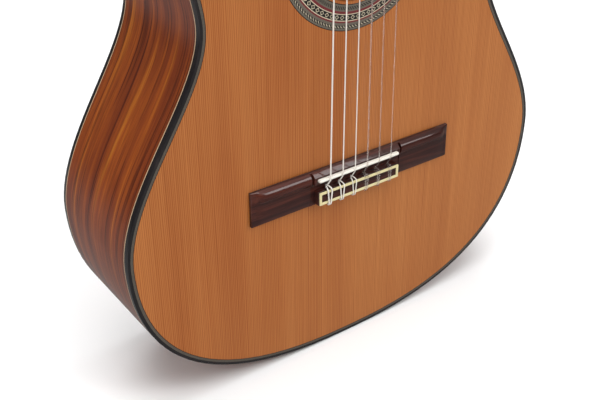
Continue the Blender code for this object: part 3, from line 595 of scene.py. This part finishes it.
def inset_outline(inset):
    return [(x + nx * inset, z + nz * inset) for x, z, nx, nz in whole_rim()]


def body_depth(x, z):
    share = z / BODY_LENGTH
    middle = TAIL_DEPTH + (HEEL_DEPTH - TAIL_DEPTH) * share + 4 * BACK_RISE * share * (1 - share)
    return middle - x * x / (2 * BACK_RADIUS)


def rim_piece(name, section, material, samples=None, from_back=False, replaces=()):
    """A section of (inset, depth) swept round the rim.

    A negative depth counts from the back, and so does every depth where from_back is set.
    """
    closed = samples is None
    samples = samples or whole_rim()
    rings = []
    for x, z, nx, nz in samples:
        back = body_depth(x, z)
        ring = []
        for inset, depth in section:
            from_front = back - depth if from_back else (depth if depth >= 0 else back + depth)
            ring.append((x + nx * inset, FRONT_Y + from_front, z + nz * inset))
        rings.append(ring)
    mesh = skinned(name, rings, closed=closed)
    if not closed:
        path_uv(mesh, samples)
    return add(name, mesh, material, "guitar", replaces)


def path_uv(mesh, samples):
    """UVs in metres: u along the rim, v through the body's depth."""
    lengths = [0.0]
    for (x0, z0, _, _), (x1, z1, _, _) in zip(samples, samples[1:]):
        lengths.append(lengths[-1] + math.hypot(x1 - x0, z1 - z0))
    ring_size = len(mesh.vertices) // len(samples)
    layer = mesh.uv_layers.new(name="path")
    for loop in mesh.loops:
        vertex = loop.vertex_index
        layer.data[loop.index].uv = (lengths[vertex // ring_size], mesh.vertices[vertex].co.y)


def make_rims():
    wide, tall = BINDING
    edge = 0.0007
    corner = [(0.0, tall), (0.0, edge), (0.00012, 0.00030), (0.00030, 0.00012), (edge, 0.0)]
    rim_piece("top_binding_strip", corner + [(wide, 0.0), (wide, tall)], "ebony", replaces="top_binding")
    rim_piece("back_binding_strip", corner + [(wide, 0.0), (wide, tall)], "ebony", None, True, "back_binding")
    side_line = [(0.0, tall), (wide, tall), (wide, tall + PALE_LINE), (0.0, tall + PALE_LINE)]
    rim_piece("top_side_line", side_line, "maple")
    rim_piece("back_side_line", side_line, "maple", from_back=True)
    inlay = 0.0012
    for name, low, high, material in (
        ("top_purfling", wide, PURFLING_END, "purfling"),
        ("top_purfling_line", PURFLING_END, DARK_LINE_END, "dark_line"),
    ):
        rim_piece(name, [(low, 0.0), (high, 0.0), (high, inlay), (low, inlay)], material)
    back_line = [(wide, 0.0), (wide + PALE_LINE, 0.0), (wide + PALE_LINE, inlay), (wide, inlay)]
    rim_piece("back_purfling", back_line, "maple", from_back=True)
    start = tall + PALE_LINE
    wall = [(0.0, start), (0.0, -start), (wide, -start), (wide, start)]
    half = half_rim(WEDGE_HALF + GAP, 0.0001)
    rim_piece("side_treble_panel", wall, "side", half, replaces="side_treble")
    rim_piece("side_bass_panel", wall, "side", mirrored(half), replaces="side_bass")


def make_soundboard():
    """The board with a pocket for the rosette, cut as the CAD board is but with a finer outline."""
    hole = circle((0, SOUNDHOLE_Z), SOUNDHOLE_R)
    board = plate_mesh([inset_outline(DARK_LINE_END), hole], FRONT_Y, FRONT_Y + TOP_THICK)
    rings = [circle((0, SOUNDHOLE_Z), radius) for radius in (ROSETTE_R[1], ROSETTE_R[0])]
    pocket = plate_mesh(rings, FRONT_Y - 0.002, FRONT_Y + ROSETTE_THICK)
    add("soundboard_plate", cut(board, [pocket]), "cedar", replaces="soundboard")


ROSETTE_ROWS = (
    (1, "line"),
    (2, "plain"),
    (4, "light dashes"),
    (3, "plain"),
    (2, "red"),
    (1, "cream"),
    (7, "diamonds"),
    (1, "cream"),
    (3, "red"),
    (2, "plain"),
    (4, "dashes"),
    (2, "plain"),
    (1, "line"),
)
ROSETTE_TURN = 600  # tiles in each row
TILE_NAMES = ("tile_black", "tile_grey", "tile_cream", "tile_red")
BLACK, GREY, CREAM, RED = range(4)


def tile_colour(pattern, row, column):
    """The dyed stick at a place of the mosaic."""
    if pattern.endswith("dashes"):
        place = (column + row) % 4
        lit = pattern == "light dashes" and row in (1, 2)
        return BLACK if place < 2 else CREAM if place == 2 and lit else GREY
    if pattern == "diamonds":
        return CREAM if 1.9 < abs(column % 8 - 3.5) + abs(row - 3) < 3.1 else BLACK
    return {"line": BLACK, "plain": GREY, "red": RED, "cream": CREAM}[pattern]


def make_rosette():
    """A ring of small square sticks, each a face of its own colour, as a mosaic rosette is made."""
    rows = [(pattern, row) for count, pattern in ROSETTE_ROWS for row in range(count)]
    step = (ROSETTE_R[1] - ROSETTE_R[0]) / len(rows)
    bm = bmesh.new()
    grid = []
    for index in range(len(rows) + 1):
        radius = ROSETTE_R[1] - step * index
        ring = []
        for column in range(ROSETTE_TURN):
            angle = 2 * math.pi * column / ROSETTE_TURN
            x, z = radius * math.cos(angle), SOUNDHOLE_Z + radius * math.sin(angle)
            ring.append(bm.verts.new((x, FRONT_Y, z)))
        grid.append(ring)
    for (pattern, row), outer, inner in zip(rows, grid, grid[1:]):
        for column in range(ROSETTE_TURN):
            after = (column + 1) % ROSETTE_TURN
            corners = (outer[column], outer[after], inner[after], inner[column])
            bm.faces.new(corners).material_index = tile_colour(pattern, row, column)
    bm.normal_update()
    if bm.faces[:][0].normal.y > 0:
        bmesh.ops.reverse_faces(bm, faces=bm.faces)
    mesh = to_mesh("rosette_mosaic", bm, closed=False)
    obj = add("rosette_mosaic", mesh, None, replaces="rosette")
    for name in TILE_NAMES:
        mesh.materials.append(MATERIALS[name])
    thicken(obj, ROSETTE_THICK)


def thicken(obj, thickness):
    """Gives a sheet its thickness, inwards from its face."""
    solid = obj.modifiers.new("thickness", "SOLIDIFY")
    solid.thickness = thickness
    solid.offset = -1.0


def back_grid(side):
    """One bookmatched half of the arched back, thickened inwards."""
    columns, inset = 14, BINDING[0] + PALE_LINE
    edge = [(x + nx * inset, z + nz * inset) for x, z, nx, nz in half_rim()[1:-1]]
    bm = bmesh.new()
    rows = []
    for half_x, z in edge:
        xs = [half_x * i / columns for i in range(columns + 1)]
        rows.append([bm.verts.new((side * x, FRONT_Y + body_depth(x, z), z)) for x in xs])
    for near, far in zip(rows, rows[1:]):
        for i in range(columns):
            bm.faces.new((near[i], near[i + 1], far[i + 1], far[i]))
    bm.normal_update()
    if bm.faces[:][0].normal.y < 0:
        bmesh.ops.reverse_faces(bm, faces=bm.faces)
    return to_mesh("back", bm, closed=False)


def make_back():
    for word, side in (("bass", -1), ("treble", 1)):
        obj = add(f"back_{word}_panel", back_grid(side), "back", replaces=f"back_{word}")
        thicken(obj, BACK_THICK)
    stations = [0.0035 + (BODY_LENGTH - 0.007) * i / 60 for i in range(61)]
    for name, half, proud, material in (
        ("back_centre_strip", 0.0016, 0.00006, "maple"),
        ("back_centre_line", 0.0007, 0.0001, "dark_line"),
    ):
        rings = []
        for z in stations:
            y = FRONT_Y + body_depth(0.0, z)
            inner, outer = y - 0.001, y + proud
            rings.append([(-half, inner, z), (half, inner, z), (half, outer, z), (-half, outer, z)])
        add(name, skinned(name, rings), material)


def make_inside():
    linings = ("top_lining_bass", "top_lining_treble", "back_lining_bass", "back_lining_treble")
    cross_bars = ("harmonic_bar_lower", "harmonic_bar_upper", "back_brace_1", "back_brace_2", "back_brace_3")
    for nodes, width, material in (
        (("tail_block", "neck_block"), 0.0008, "inner"),
        (linings, 0.0010, "inner"),
        ([f"fan_brace_{i + 1}" for i in range(5)], 0.0012, "spruce"),
        (cross_bars, 0.0016, "spruce_across"),
        (("tail_wedge",), 0.0002, "ebony"),
        (("heel_cap",), 0.0006, "ebony"),
    ):
        for node in nodes:
            softened(node, width, material)
    y = FRONT_Y + body_depth(0.035, SOUNDHOLE_Z) - 0.0029
    half, low, high = 0.036, 0.288, 0.344
    label = [(-half, low), (half, low), (half, high), (-half, high)]
    add("label", plate_mesh([label], y - 0.0002, y), "paper")


# ---- bridge and strings
# A wing's cross-sections: x and how much of the ridge there is
WING_STATIONS = ((WING_INNER_X - 0.0002, 1.0), (0.0700, 1.0), (0.0800, 1.0), (0.0835, 0.75), (0.0865, 0.25))
WING_STATIONS += ((0.0880, 0.0), (BRIDGE_HALF - 0.0003, 0.0), (BRIDGE_HALF, -0.1))


def wing_ring(x, ridge):
    """A wing's cross-section at x. ridge runs from 0, a thin flat end, to 1, the full rounded ridge."""
    low, high = BRIDGE_LOW, BRIDGE_HIGH
    flat = 0.0025
    profile = [(low, 0.0), (low, 0.0022), (low + 0.0005, 0.0026), (low + 0.009, 0.0031)]
    profile += [(high - 0.0100, 0.0037), (high - 0.0086, 0.0045)]
    centre, radius = high - 0.0052, 0.0037
    for degrees in (150, 125, 100, 75, 50, 25):
        angle = math.radians(degrees)
        profile.append((centre + radius * math.cos(angle) * 1.15, 0.0026 + radius * math.sin(angle) * 0.97))
    profile += [(high - 0.0003, 0.0026), (high, 0.0022), (high, 0.0)]
    return [(x, FRONT_Y - (min(h, flat) + max(0.0, h - flat) * ridge), z) for z, h in profile]


def make_bridge():
    wings = []
    for side in (-1, 1):
        wings.append(skinned("wing", [wing_ring(side * x, ridge) for x, ridge in WING_STATIONS], 30))
    base = box_mesh((-WING_INNER_X, FRONT_Y - BASE_HEIGHT, BRIDGE_LOW), (WING_INNER_X, FRONT_Y, BRIDGE_HIGH))
    y, past = FRONT_Y - TIE_HOLE_HEIGHT, 0.002
    holes = []
    for radius, x, _, _ in STRINGS.values():
        holes.append(rod_mesh(radius + 0.0004, (x, y, BRIDGE_LOW - past), (x, y, TIE_BLOCK_Z[1] + past), 16))
    tie = box_mesh(
        (-TIE_BLOCK_HALF, FRONT_Y - TIE_BLOCK_TOP, TIE_BLOCK_Z[0]),
        (TIE_BLOCK_HALF, FRONT_Y - BASE_HEIGHT + 0.001, TIE_BLOCK_Z[1]),
    )
    low_z, high_z = SADDLE_BLOCK_Z
    slope = ((low_z, BASE_HEIGHT - 0.001), (low_z, SADDLE_BLOCK_TOP), (SADDLE_BLOCK_BACK, SADDLE_BLOCK_TOP))
    slope += ((high_z, BASE_HEIGHT + 0.0006), (high_z, BASE_HEIGHT - 0.001))
    seat = across(slope, lambda z: SADDLE_BLOCK_HALF, "seat")
    slot = box_mesh(
        (SADDLE_LOW.x - 0.0002, FRONT_Y - 0.012, SADDLE_LOW.z - 0.0001),
        (SADDLE_HIGH.x + 0.0002, SADDLE_HIGH.y + 0.0001, SADDLE_HIGH.z + 0.0001),
    )
    tie = cut(bevelled(tie, 0.0005), holes)
    seat = cut(bevelled(seat, 0.0004), [slot])
    add("bridge_body", joined([bevelled(base, 0.0003), tie, seat] + wings), "bridge", replaces="bridge")
    add("saddle_bone", saddle_mesh(), "bone", replaces="saddle")
    softened("tie_block_frame", 0.00035, "ivory", "tie_block_inlay")
    edge, top_y = 0.0025, FRONT_Y - TIE_BLOCK_TOP
    panel_half, panel_low, panel_high = TIE_BLOCK_HALF - edge, TIE_BLOCK_Z[0] + edge, TIE_BLOCK_Z[1] - edge
    panel = box_mesh((-panel_half, top_y - 0.0008, panel_low), (panel_half, top_y + 0.0005, panel_high))
    add("tie_block_panel", panel, "bridge")


def saddle_mesh():
    """A bar with a round crown and softened ends."""
    half = (SADDLE_HIGH.z - SADDLE_LOW.z) / 2
    middle_z, length, crown = (SADDLE_HIGH.z + SADDLE_LOW.z) / 2, SADDLE_HIGH.x, half * 0.9
    # Distance from the end, and the share of the full thickness there
    ends = ((0.0, 0.45), (0.0003, 0.78), (0.0008, 0.95), (0.0016, 1.0))
    rings = []
    for x, share in [(e - length, s) for e, s in ends] + [(length - e, s) for e, s in ends[::-1]]:
        ring = [(x, SADDLE_HIGH.y, middle_z - half * share), (x, SADDLE_HIGH.y, middle_z + half * share)]
        for i in range(9):
            angle = math.pi * i / 8
            y = SADDLE_LOW.y + crown * (1 - math.sin(angle)) + (1 - share) * 0.0016
            ring.append((x, y, middle_z + half * share * math.cos(angle)))
        rings.append(ring)
    return skinned("saddle", rings, 50)


def string_line(number):
    """The points of a string from its roller over the nut and the saddle to its hole."""
    radius, saddle_x, nut_x, roller_x = STRINGS[number]
    over_saddle = SADDLE_LOW.y - radius * 0.9
    over_nut = FRONT_Y - NUT_SLOT - GAP - radius
    word = "bass" if saddle_x < 0 else "treble"
    roller_z = ROLLER_Z[TUNERS[word].index(number)]
    seat = HEAD @ Vector((roller_x, ROLLER_Y - ROLLER_R - GAP - radius, roller_z))
    saddle_z = (SADDLE_LOW.z + SADDLE_HIGH.z) / 2
    return [
        seat,
        (nut_x, over_nut, NUT_HIGH.z + GAP),
        (nut_x, over_nut, NUT_LOW.z),
        (saddle_x, over_saddle, saddle_z + 0.0006),
        (saddle_x, over_saddle + 0.0002, saddle_z - 0.0008),
    ]


def string_tie(number):
    """From the saddle through the tie block, back over it, under the string and over the block again."""
    radius, x, _, _ = STRINGS[number]
    clear = radius + 0.0001
    hole_y = FRONT_Y - TIE_HOLE_HEIGHT
    top_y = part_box("tie_block_frame")[0].y - clear
    low_z, high_z = TIE_BLOCK_Z[0] - clear, TIE_BLOCK_Z[1]
    middle_z = (low_z + high_z) / 2
    wide, narrow = (0.0017, 0.0009) if number >= 4 else (0.0011, 0.0006)
    under_y = hole_y - 0.0012 + 2 * radius
    return [
        (x, hole_y - 0.0006, high_z + 0.0016),
        (x, hole_y, high_z),
        (x, hole_y, low_z + 0.004),
        (x, hole_y, low_z - 0.0004),
        (x + narrow * 0.5, hole_y - 0.0022, low_z - 0.0010),
        (x + narrow * 0.9, top_y + 0.0006, low_z),
        (x + narrow, top_y, low_z + 0.0016),
        (x + (wide + narrow) / 2, top_y, middle_z),
        (x + wide, top_y, high_z - 0.0010),
        (x + wide * 0.95, top_y + 0.0010, high_z + 0.0008),
        (x + wide * 0.5, under_y - 0.0010, high_z + 0.0020),
        (x, under_y, high_z + 0.0024),
        (x - wide * 0.5, under_y - 0.0010, high_z + 0.0020),
        (x - wide * 0.95, top_y + 0.0010, high_z + 0.0008),
        (x - wide, top_y, high_z - 0.0010),
        (x - (wide + narrow) / 2, top_y, middle_z),
        (x - narrow, top_y, low_z + 0.0016),
        (x - narrow * 0.9, top_y + 0.0008, low_z - 0.0002),
        (x - narrow * 0.5, hole_y - 0.0018, low_z - 0.0006),
    ]


def make_strings():
    for number, (radius, _, _, _) in STRINGS.items():
        points = string_line(number) + smooth_path(string_tie(number), 5)
        material = "nylon" if number < 4 else "wound"
        tube(f"string_{number}_cord", points, radius, material, replaces=f"string_{number}")


# ---- neck
def board_half(z):
    return NUT_HALF + (JOINT_HALF - NUT_HALF) * (NUT_LOW.z - z) / (NUT_LOW.z - BODY_LENGTH)


def neck_section(z, half, depth, flat, lean=0.0):
    """Half an oval behind the fingerboard, flat in its middle. lean drops its back."""
    side, steps = [], 14
    for i in range(steps + 1):
        angle = math.radians(90 * i / steps)
        side.append((flat + (half - flat) * math.cos(angle), depth * math.sin(angle)))
    ring = side + [(-x, d) for x, d in side[::-1]]
    return [(x, FRONT_Y + d, z - lean * d) for x, d in ring]


def make_neck():
    heel_z = BODY_LENGTH + GAP
    cap_low, cap_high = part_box("heel_cap")
    full = cap_low.y - FRONT_Y - 0.00005
    cap_half, flat_share = cap_high.x, 0.30
    slim_nut, slim_heel, sweep, blend = 0.0155, 0.0180, 0.058, 0.026
    sections = [neck_section(heel_z, JOINT_HALF, full, cap_half)]
    for i in range(29):
        angle = math.radians(90 * i / 28)
        z = cap_high.z + sweep - sweep * math.cos(angle)
        depth = slim_heel + (full - slim_heel) * (1 - math.sin(angle))
        flat = cap_half + (flat_share * board_half(z) - cap_half) * math.sin(angle)
        sections.append(neck_section(z, board_half(z), depth, flat))
    blend_z = NUT_LOW.z - blend
    end = (NUT_HALF, HEAD_THICK * math.cos(HEAD_TILT), NUT_HALF - 0.002, math.tan(HEAD_TILT))
    start = (board_half(blend_z), slim_nut, flat_share * board_half(blend_z), 0.0)
    for i in range(11):
        share = i / 10
        eased = share * share * (3 - 2 * share)
        values = [a + (b - a) * eased for a, b in zip(start, end)]
        sections.append(neck_section(blend_z + (NUT_HIGH.z - blend_z) * share, *values))
    add("neck_shaft", skinned("neck", sections, 50), "neck", replaces="neck")


def fret_z(number):
    return NUT_LOW.z - SCALE * (1 - 2 ** (-number / 12))


def across(profile, half_at, name="bar", at_z=0.0, end_lean=0.0):
    """A bar across the guitar: its profile in (z, height), with its ends half_at(z) from the centre.

    end_lean pulls the ends in, by that share of the height above the fingerboard's face.
    """
    board_face = GAP + BOARD_TALL
    rings = []
    for side in (-1, 1):
        ends = [half_at(at_z + z) - end_lean * max(0.0, h - board_face) for z, h in profile]
        rings.append([(side * x, FRONT_Y - h, at_z + z) for x, (z, h) in zip(ends, profile)])
    return skinned(name, rings, 40)


def make_fingerboard():
    low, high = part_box("fingerboard")
    top = GAP + BOARD_TALL
    profile = [(low.z, 0.0), (high.z, 0.0), (high.z, top), (low.z, top)]
    board = bevelled(across(profile, board_half), 0.0004)
    add("fingerboard_slab", board, "board", replaces="fingerboard")
    crown = [(-0.00125, top - 0.0001), (0.00125, top - 0.0001)]
    for i in range(9):
        angle = math.pi * i / 8
        crown.append((0.00120 * math.cos(angle), top + 0.00108 * math.sin(angle) ** 0.8))
    for number in range(1, FRET_COUNT + 1):
        fret = across(crown, lambda z: board_half(z) - 0.0001, "fret", fret_z(number), 0.55)
        add(f"fret_{number}", fret, "steel")
    nut = box_mesh((NUT_LOW.x, NUT_LOW.y, NUT_LOW.z), (NUT_HIGH.x, FRONT_Y, NUT_HIGH.z))
    slots, slot_low, slot_high = [], NUT_LOW.z - 0.001, NUT_HIGH.z + 0.001
    for radius, _, x, _ in STRINGS.values():
        y = FRONT_Y - NUT_SLOT - GAP - radius
        slots.append(rod_mesh(radius + 0.0002, (x, y, slot_low), (x, y, slot_high), 16))
        slots.append(box_mesh((x - radius, y - 0.004, slot_low), (x + radius, y, slot_high)))
    add("nut_bone", cut(bevelled(nut, 0.0008, 3), slots), "bone", replaces="nut")


# ---- head and tuning machines
def head_outline():
    """Square shoulders above the nut, straight cheeks, and a low crest with a scoop on each side."""
    right = [(NUT_HALF, 0.0), (NUT_HALF + 0.001, 0.008), (0.0325, 0.019), (0.035, 0.026)]
    right += [(0.035, 0.148), (0.0335, 0.156), (0.0280, 0.163), (0.0235, 0.172)]
    right += [(0.0160, 0.180), (0.0080, 0.1845), (0.0, 0.186)]
    path = [Vector((x, z, 0)) for x, z in right]
    lower = [(v.x, v.y) for v in smooth_path(path[:4], 6)]
    upper = [(v.x, v.y) for v in smooth_path(path[4:], 6)]
    half = lower + upper
    return half + [(-x, z) for x, z in half[-2::-1]]


def slot_outline(side):
    inner, outer, low, high = 0.0068, 0.0225, 0.014, 0.130
    middle, radius = (inner + outer) / 2, (outer - inner) / 2
    turns = [math.radians(180 * i / 18) for i in range(19)]
    top = [(middle + radius * math.cos(a), high - radius + radius * math.sin(a)) for a in turns]
    bottom = [(middle - radius * math.cos(a), low + radius - radius * math.sin(a)) for a in turns]
    return [(side * x, z) for x, z in top + bottom]


def make_head():
    outlines = [head_outline(), slot_outline(-1), slot_outline(1)]
    wood = plate_mesh(outlines, 0.0, HEAD_THICK, 0.0008)
    holes = []
    for side in (-1, 1):
        for z in ROLLER_Z:
            holes.append(rod_mesh(0.0056, (side * 0.0021, ROLLER_Y, z), (side * 0.037, ROLLER_Y, z), 32))
    add("headstock_wood", cut(wood, holes), "neck", replaces="headstock", at=HEAD)
    veneer = plate_mesh(outlines, -0.0025, -0.0004, 0.0005)
    add("head_veneer_face", veneer, "veneer", replaces="head_veneer", at=HEAD)
    add("head_veneer_line", plate_mesh(outlines, -0.0004, 0.0), "maple", at=HEAD)


def worm_radius(turn, y):
    phase = (turn - 2 * math.pi * (y - ROLLER_Y) / WORM_LEAD + math.pi) % (2 * math.pi) - math.pi
    rise = (math.radians(90) - abs(phase)) / math.radians(60)
    return 0.0023 + 0.0016 * min(1.0, max(0.0, rise))


def worm_mesh():
    """A worm on its shaft, along y. Turns are counted from +z towards +x."""
    sides, low, high, shaft = 28, 0.0042, 0.0138, 0.0018
    turns = [2 * math.pi * i / sides for i in range(sides)]

    def ring(y, radii):
        return [(radius * math.sin(a), y, radius * math.cos(a)) for radius, a in zip(radii, turns)]

    rings = [ring(y, [shaft] * sides) for y in (0.0004, low)]
    steps = round(20 * (high - low) / WORM_LEAD)
    for i in range(steps + 1):
        y = low + (high - low) * i / steps
        rings.append(ring(y, [worm_radius(a, y) for a in turns]))
    neck = ((high, shaft), (0.0175, shaft), (0.0180, 0.0026), (0.0215, 0.0021), (0.0240, 0.0026))
    return skinned("worm", rings + [ring(y, [radius] * sides) for y, radius in neck])


def button_mesh():
    """An oval knob with a soft edge, wider than it is thick."""
    thick, tall, wide = 0.0085, 0.0140, 0.0190
    profile = ((0.0, 0.28), (0.02, 0.42), (0.12, 0.66), (0.3, 0.90), (0.5, 1.0))
    profile += ((0.7, 0.99), (0.86, 0.88), (0.95, 0.68), (1.0, 0.40))
    rings = []
    for along, share in profile:
        half_x, half_z = thick / 2 * min(1.0, share + 0.1), wide / 2 * share
        ring = []
        for i in range(40):
            angle = 2 * math.pi * i / 40
            s, c = math.sin(angle), math.cos(angle)
            x, z = half_x * math.copysign(abs(s) ** 0.75, s), half_z * math.copysign(abs(c) ** 0.9, c)
            ring.append((x, BUTTON_Y + tall * along, z))
        rings.append(ring)
    return skinned("button", rings, 50)


# One flank of a wheel's tooth: radius, and distance from the tooth's middle
TOOTH = ((0.0059, -0.00080), (0.0070, -0.00052), (0.0076, -0.00025))


def wheel_mesh(side):
    """The worm wheel with a gap between teeth at its lowest point, and the screw that holds it."""
    points = []
    for tooth in range(GEAR_TEETH):
        middle = -math.pi / 2 + 2 * math.pi * (tooth + 0.5) / GEAR_TEETH
        for radius, half in TOOTH + tuple((radius, -half) for radius, half in TOOTH[::-1]):
            angle = middle + half / radius
            points.append((radius * math.cos(angle), radius * math.sin(angle)))
    rings = [[(side * x, y, z) for y, z in points] for x in GEAR_X]
    wheel = skinned("wheel", rings)
    out = (side, 0, 0)
    axle = turned_mesh(((0.0340, 0.0025), (GEAR_X[0] + 0.0002, 0.0025)), (0, 0, 0), out)
    face = GEAR_X[1]
    screw_head = ((-0.0002, 0.0030), (0.0004, 0.0030), (0.0008, 0.0026), (0.0010, 0.0018))
    screw = turned_mesh([(face + proud, radius) for proud, radius in screw_head], (0, 0, 0), out)
    notch_low, notch_high = sorted((side * (face + 0.0005), side * (face + 0.0020)))
    notch = box_mesh((notch_low, -0.0040, -0.00035), (notch_high, 0.0040, 0.00035))
    return joined([wheel, axle, cut(screw, [notch])])


PLATE_X = 0.0365  # where the screws stand on the side plates
PLATE_SCREW_Z = (0.0335, 0.0600, 0.0950, 0.1275)
PLATE_SCREW = ((-0.0002, 0.0021), (0.0002, 0.0021), (0.0007, 0.0014), (0.0009, 0.0006))
BARREL = ((0.0024, 0.0042), (0.0030, 0.0050), (0.0341, 0.0050), (0.0347, 0.0044))


def make_machines():
    worm, button = worm_mesh(), button_mesh()
    for word, side in (("bass", -1), ("treble", 1)):
        softened(f"tuner_plate_{word}", 0.00025, "brass", f"tuner_plate_{word}_brass")
        for i, z in enumerate(PLATE_SCREW_Z):
            start = (side * PLATE_X, ROLLER_Y, z)
            head = turned_mesh(PLATE_SCREW, start, (side, 0, 0))
            low, high = sorted((side * (PLATE_X + 0.0004), side * (PLATE_X + 0.0015)))
            notch = box_mesh((low, ROLLER_Y - 0.003, z - 0.0003), (high, ROLLER_Y + 0.003, z + 0.0003))
            add(f"plate_screw_{word}_{i + 1}", cut(head, [notch]), "brass", at=HEAD)
        for number, roller_z in zip(TUNERS[word], ROLLER_Z):
            knob_at = HEAD @ Matrix.Translation((side * WORM_X, 0.0, roller_z - WORM_DROP))
            roller_at = HEAD @ Matrix.Translation((0.0, ROLLER_Y, roller_z))
            knob, body = f"knob_{number}", f"roller_{number}"
            add(f"worm_{number}", worm.copy(), "brass", knob, f"tuner_worm_{number}", knob_at)
            add(f"button_{number}", button.copy(), "pearl", knob, f"tuner_button_{number}", knob_at)
            add(f"wheel_{number}", wheel_mesh(side), "brass", body, f"tuner_roller_{number}", roller_at)
            barrel = turned_mesh(BARREL, (0, 0, 0), (side, 0, 0), 32)
            add(f"barrel_{number}", barrel, "sleeve", body, at=roller_at)
            make_winding(number, side, roller_z, body)


def make_winding(number, side, roller_z, body):
    """The string's turns round its roller, starting at the crown, where the string arrives."""
    radius, _, _, roller_x = STRINGS[number]
    reach = ROLLER_R + radius + 0.00005
    turns, pitch = 4.0, 2 * radius + 0.00012
    points = []
    for i in range(int(turns * 20) + 1):
        angle = 2 * math.pi * i / 20
        x = roller_x - side * pitch * angle / (2 * math.pi)
        y, z = ROLLER_Y - reach * math.cos(angle), roller_z + reach * math.sin(angle)
        points.append(HEAD @ Vector((x, y, z)))
    tube(f"winding_{number}", points, radius, "nylon" if number < 4 else "wound", body)


# ---- camera, floor and light
def make_camera():
    """In front of the bridge, 35 degrees round to the bass side and 31 degrees up."""
    camera = bpy.data.objects.new("camera", bpy.data.cameras.new("camera"))
    bpy.context.scene.collection.objects.link(camera)
    camera.data.lens = 57.0
    camera.data.sensor_width = 36.0
    yaw, lift, roll, distance = math.radians(35.46), math.radians(30.83), math.radians(-0.48), 0.676
    target = Vector((-0.0478, FRONT_Y, 0.1386))
    back = Vector((-math.sin(yaw) * math.cos(lift), -math.cos(yaw) * math.cos(lift), math.sin(lift)))
    right = Vector((math.cos(yaw), -math.sin(yaw), 0.0))
    basis = Matrix((right, back.cross(right), back)).transposed().to_4x4()
    turn = Matrix.Rotation(roll, 4, "Z")
    camera.matrix_world = Matrix.Translation(target + back * distance) @ basis @ turn
    bpy.context.scene.camera = camera


def area_light(name, location, target, size, power):
    light = bpy.data.lights.new(name, "AREA")
    light.shape = "RECTANGLE"
    light.size, light.size_y = size
    light.energy = power
    obj = bpy.data.objects.new(name, light)
    bpy.context.scene.collection.objects.link(obj)
    obj.location = location
    obj.rotation_euler = (Vector(target) - Vector(location)).to_track_quat("-Z", "Y").to_euler()


def make_world():
    """Bright overhead, dimmer below, so that lacquer shows the wood and not a white floor."""
    world = bpy.data.worlds.new("studio")
    bpy.context.scene.world = world
    world.use_nodes = True
    nodes, links = world.node_tree.nodes, world.node_tree.links
    direction = nodes.new("ShaderNodeTexCoord")
    split = nodes.new("ShaderNodeSeparateXYZ")
    height = nodes.new("ShaderNodeMapRange")
    height.inputs["From Min"].default_value = -1.0
    ramp = nodes.new("ShaderNodeValToRGB")
    stops = ((0.0, 0.30), (0.36, 0.42), (0.48, 0.10), (0.62, 0.16), (0.86, 0.42), (0.95, 1.40), (1.0, 1.60))
    elements = ramp.color_ramp.elements
    while len(elements) < len(stops):
        elements.new(0.5)
    for element, (position, level) in zip(elements, stops):
        element.position = position
        element.color = (level, level, level, 1.0)
    links.new(direction.outputs["Generated"], split.inputs["Vector"])
    links.new(split.outputs["Z"], height.inputs["Value"])
    links.new(height.outputs["Result"], ramp.inputs["Fac"])
    # A soft card low in front, on the bass side, for some light along the body's rounded edges
    card = nodes.new("ShaderNodeVectorMath")
    card.operation = "DOT_PRODUCT"
    card.inputs[1].default_value = Vector((-0.69, -0.49, -0.51)).normalized()
    glow = nodes.new("ShaderNodeMapRange")
    glow.interpolation_type = "SMOOTHSTEP"
    glow.inputs["From Min"].default_value, glow.inputs["From Max"].default_value = 0.93, 0.985
    glow.inputs["To Max"].default_value = 2.2
    total = nodes.new("ShaderNodeMath")
    links.new(direction.outputs["Generated"], card.inputs[0])
    links.new(card.outputs["Value"], glow.inputs["Value"])
    links.new(glow.outputs["Result"], total.inputs[0])
    links.new(ramp.outputs["Color"], total.inputs[1])
    # Seen directly, the backdrop is an even pale grey
    light_path = nodes.new("ShaderNodeLightPath")
    seen = nodes.new("ShaderNodeMix")
    seen.inputs["B"].default_value = 1.05
    links.new(light_path.outputs["Is Camera Ray"], seen.inputs["Factor"])
    links.new(total.outputs["Value"], seen.inputs["A"])
    links.new(seen.outputs["Result"], nodes["Background"].inputs["Color"])
    nodes["Background"].inputs["Strength"].default_value = 0.75


def make_studio():
    bm = bmesh.new()
    bmesh.ops.create_grid(bm, x_segments=2, y_segments=2, size=12.0)
    floor = bpy.data.objects.new("floor", to_mesh("floor", bm, closed=False))
    bpy.context.scene.collection.objects.link(floor)
    floor.location = (0, 0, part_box("tail_wedge")[0].z - 0.0005)
    paint = bpy.data.materials.new("pale_floor")
    paint.use_nodes = True
    paint.node_tree.nodes["Principled BSDF"].inputs["Base Color"].default_value = (0.93, 0.93, 0.93, 1)
    paint.node_tree.nodes["Principled BSDF"].inputs["Roughness"].default_value = 0.9
    floor.data.materials.append(paint)
    floor.visible_glossy = False
    make_world()
    target = (0.0, 0.0, 0.25)
    area_light("key", (1.6, -2.3, 2.2), target, (1.4, 1.4), 47)
    area_light("fill", (-2.2, -1.2, 1.9), target, (1.2, 1.2), 20)
    area_light("rim", (0.4, 2.2, 2.4), target, (2.0, 1.2), 30)
    area_light("overhead", (-0.2, -0.5, 3.0), target, (2.2, 2.2), 50)
    bpy.context.scene.view_settings.view_transform = "Standard"


MATERIALS = make_materials()
make_camera()
make_rims()
make_soundboard()
make_rosette()
make_back()
make_inside()
make_bridge()
make_strings()
make_neck()
make_fingerboard()
make_head()
make_machines()
make_studio()
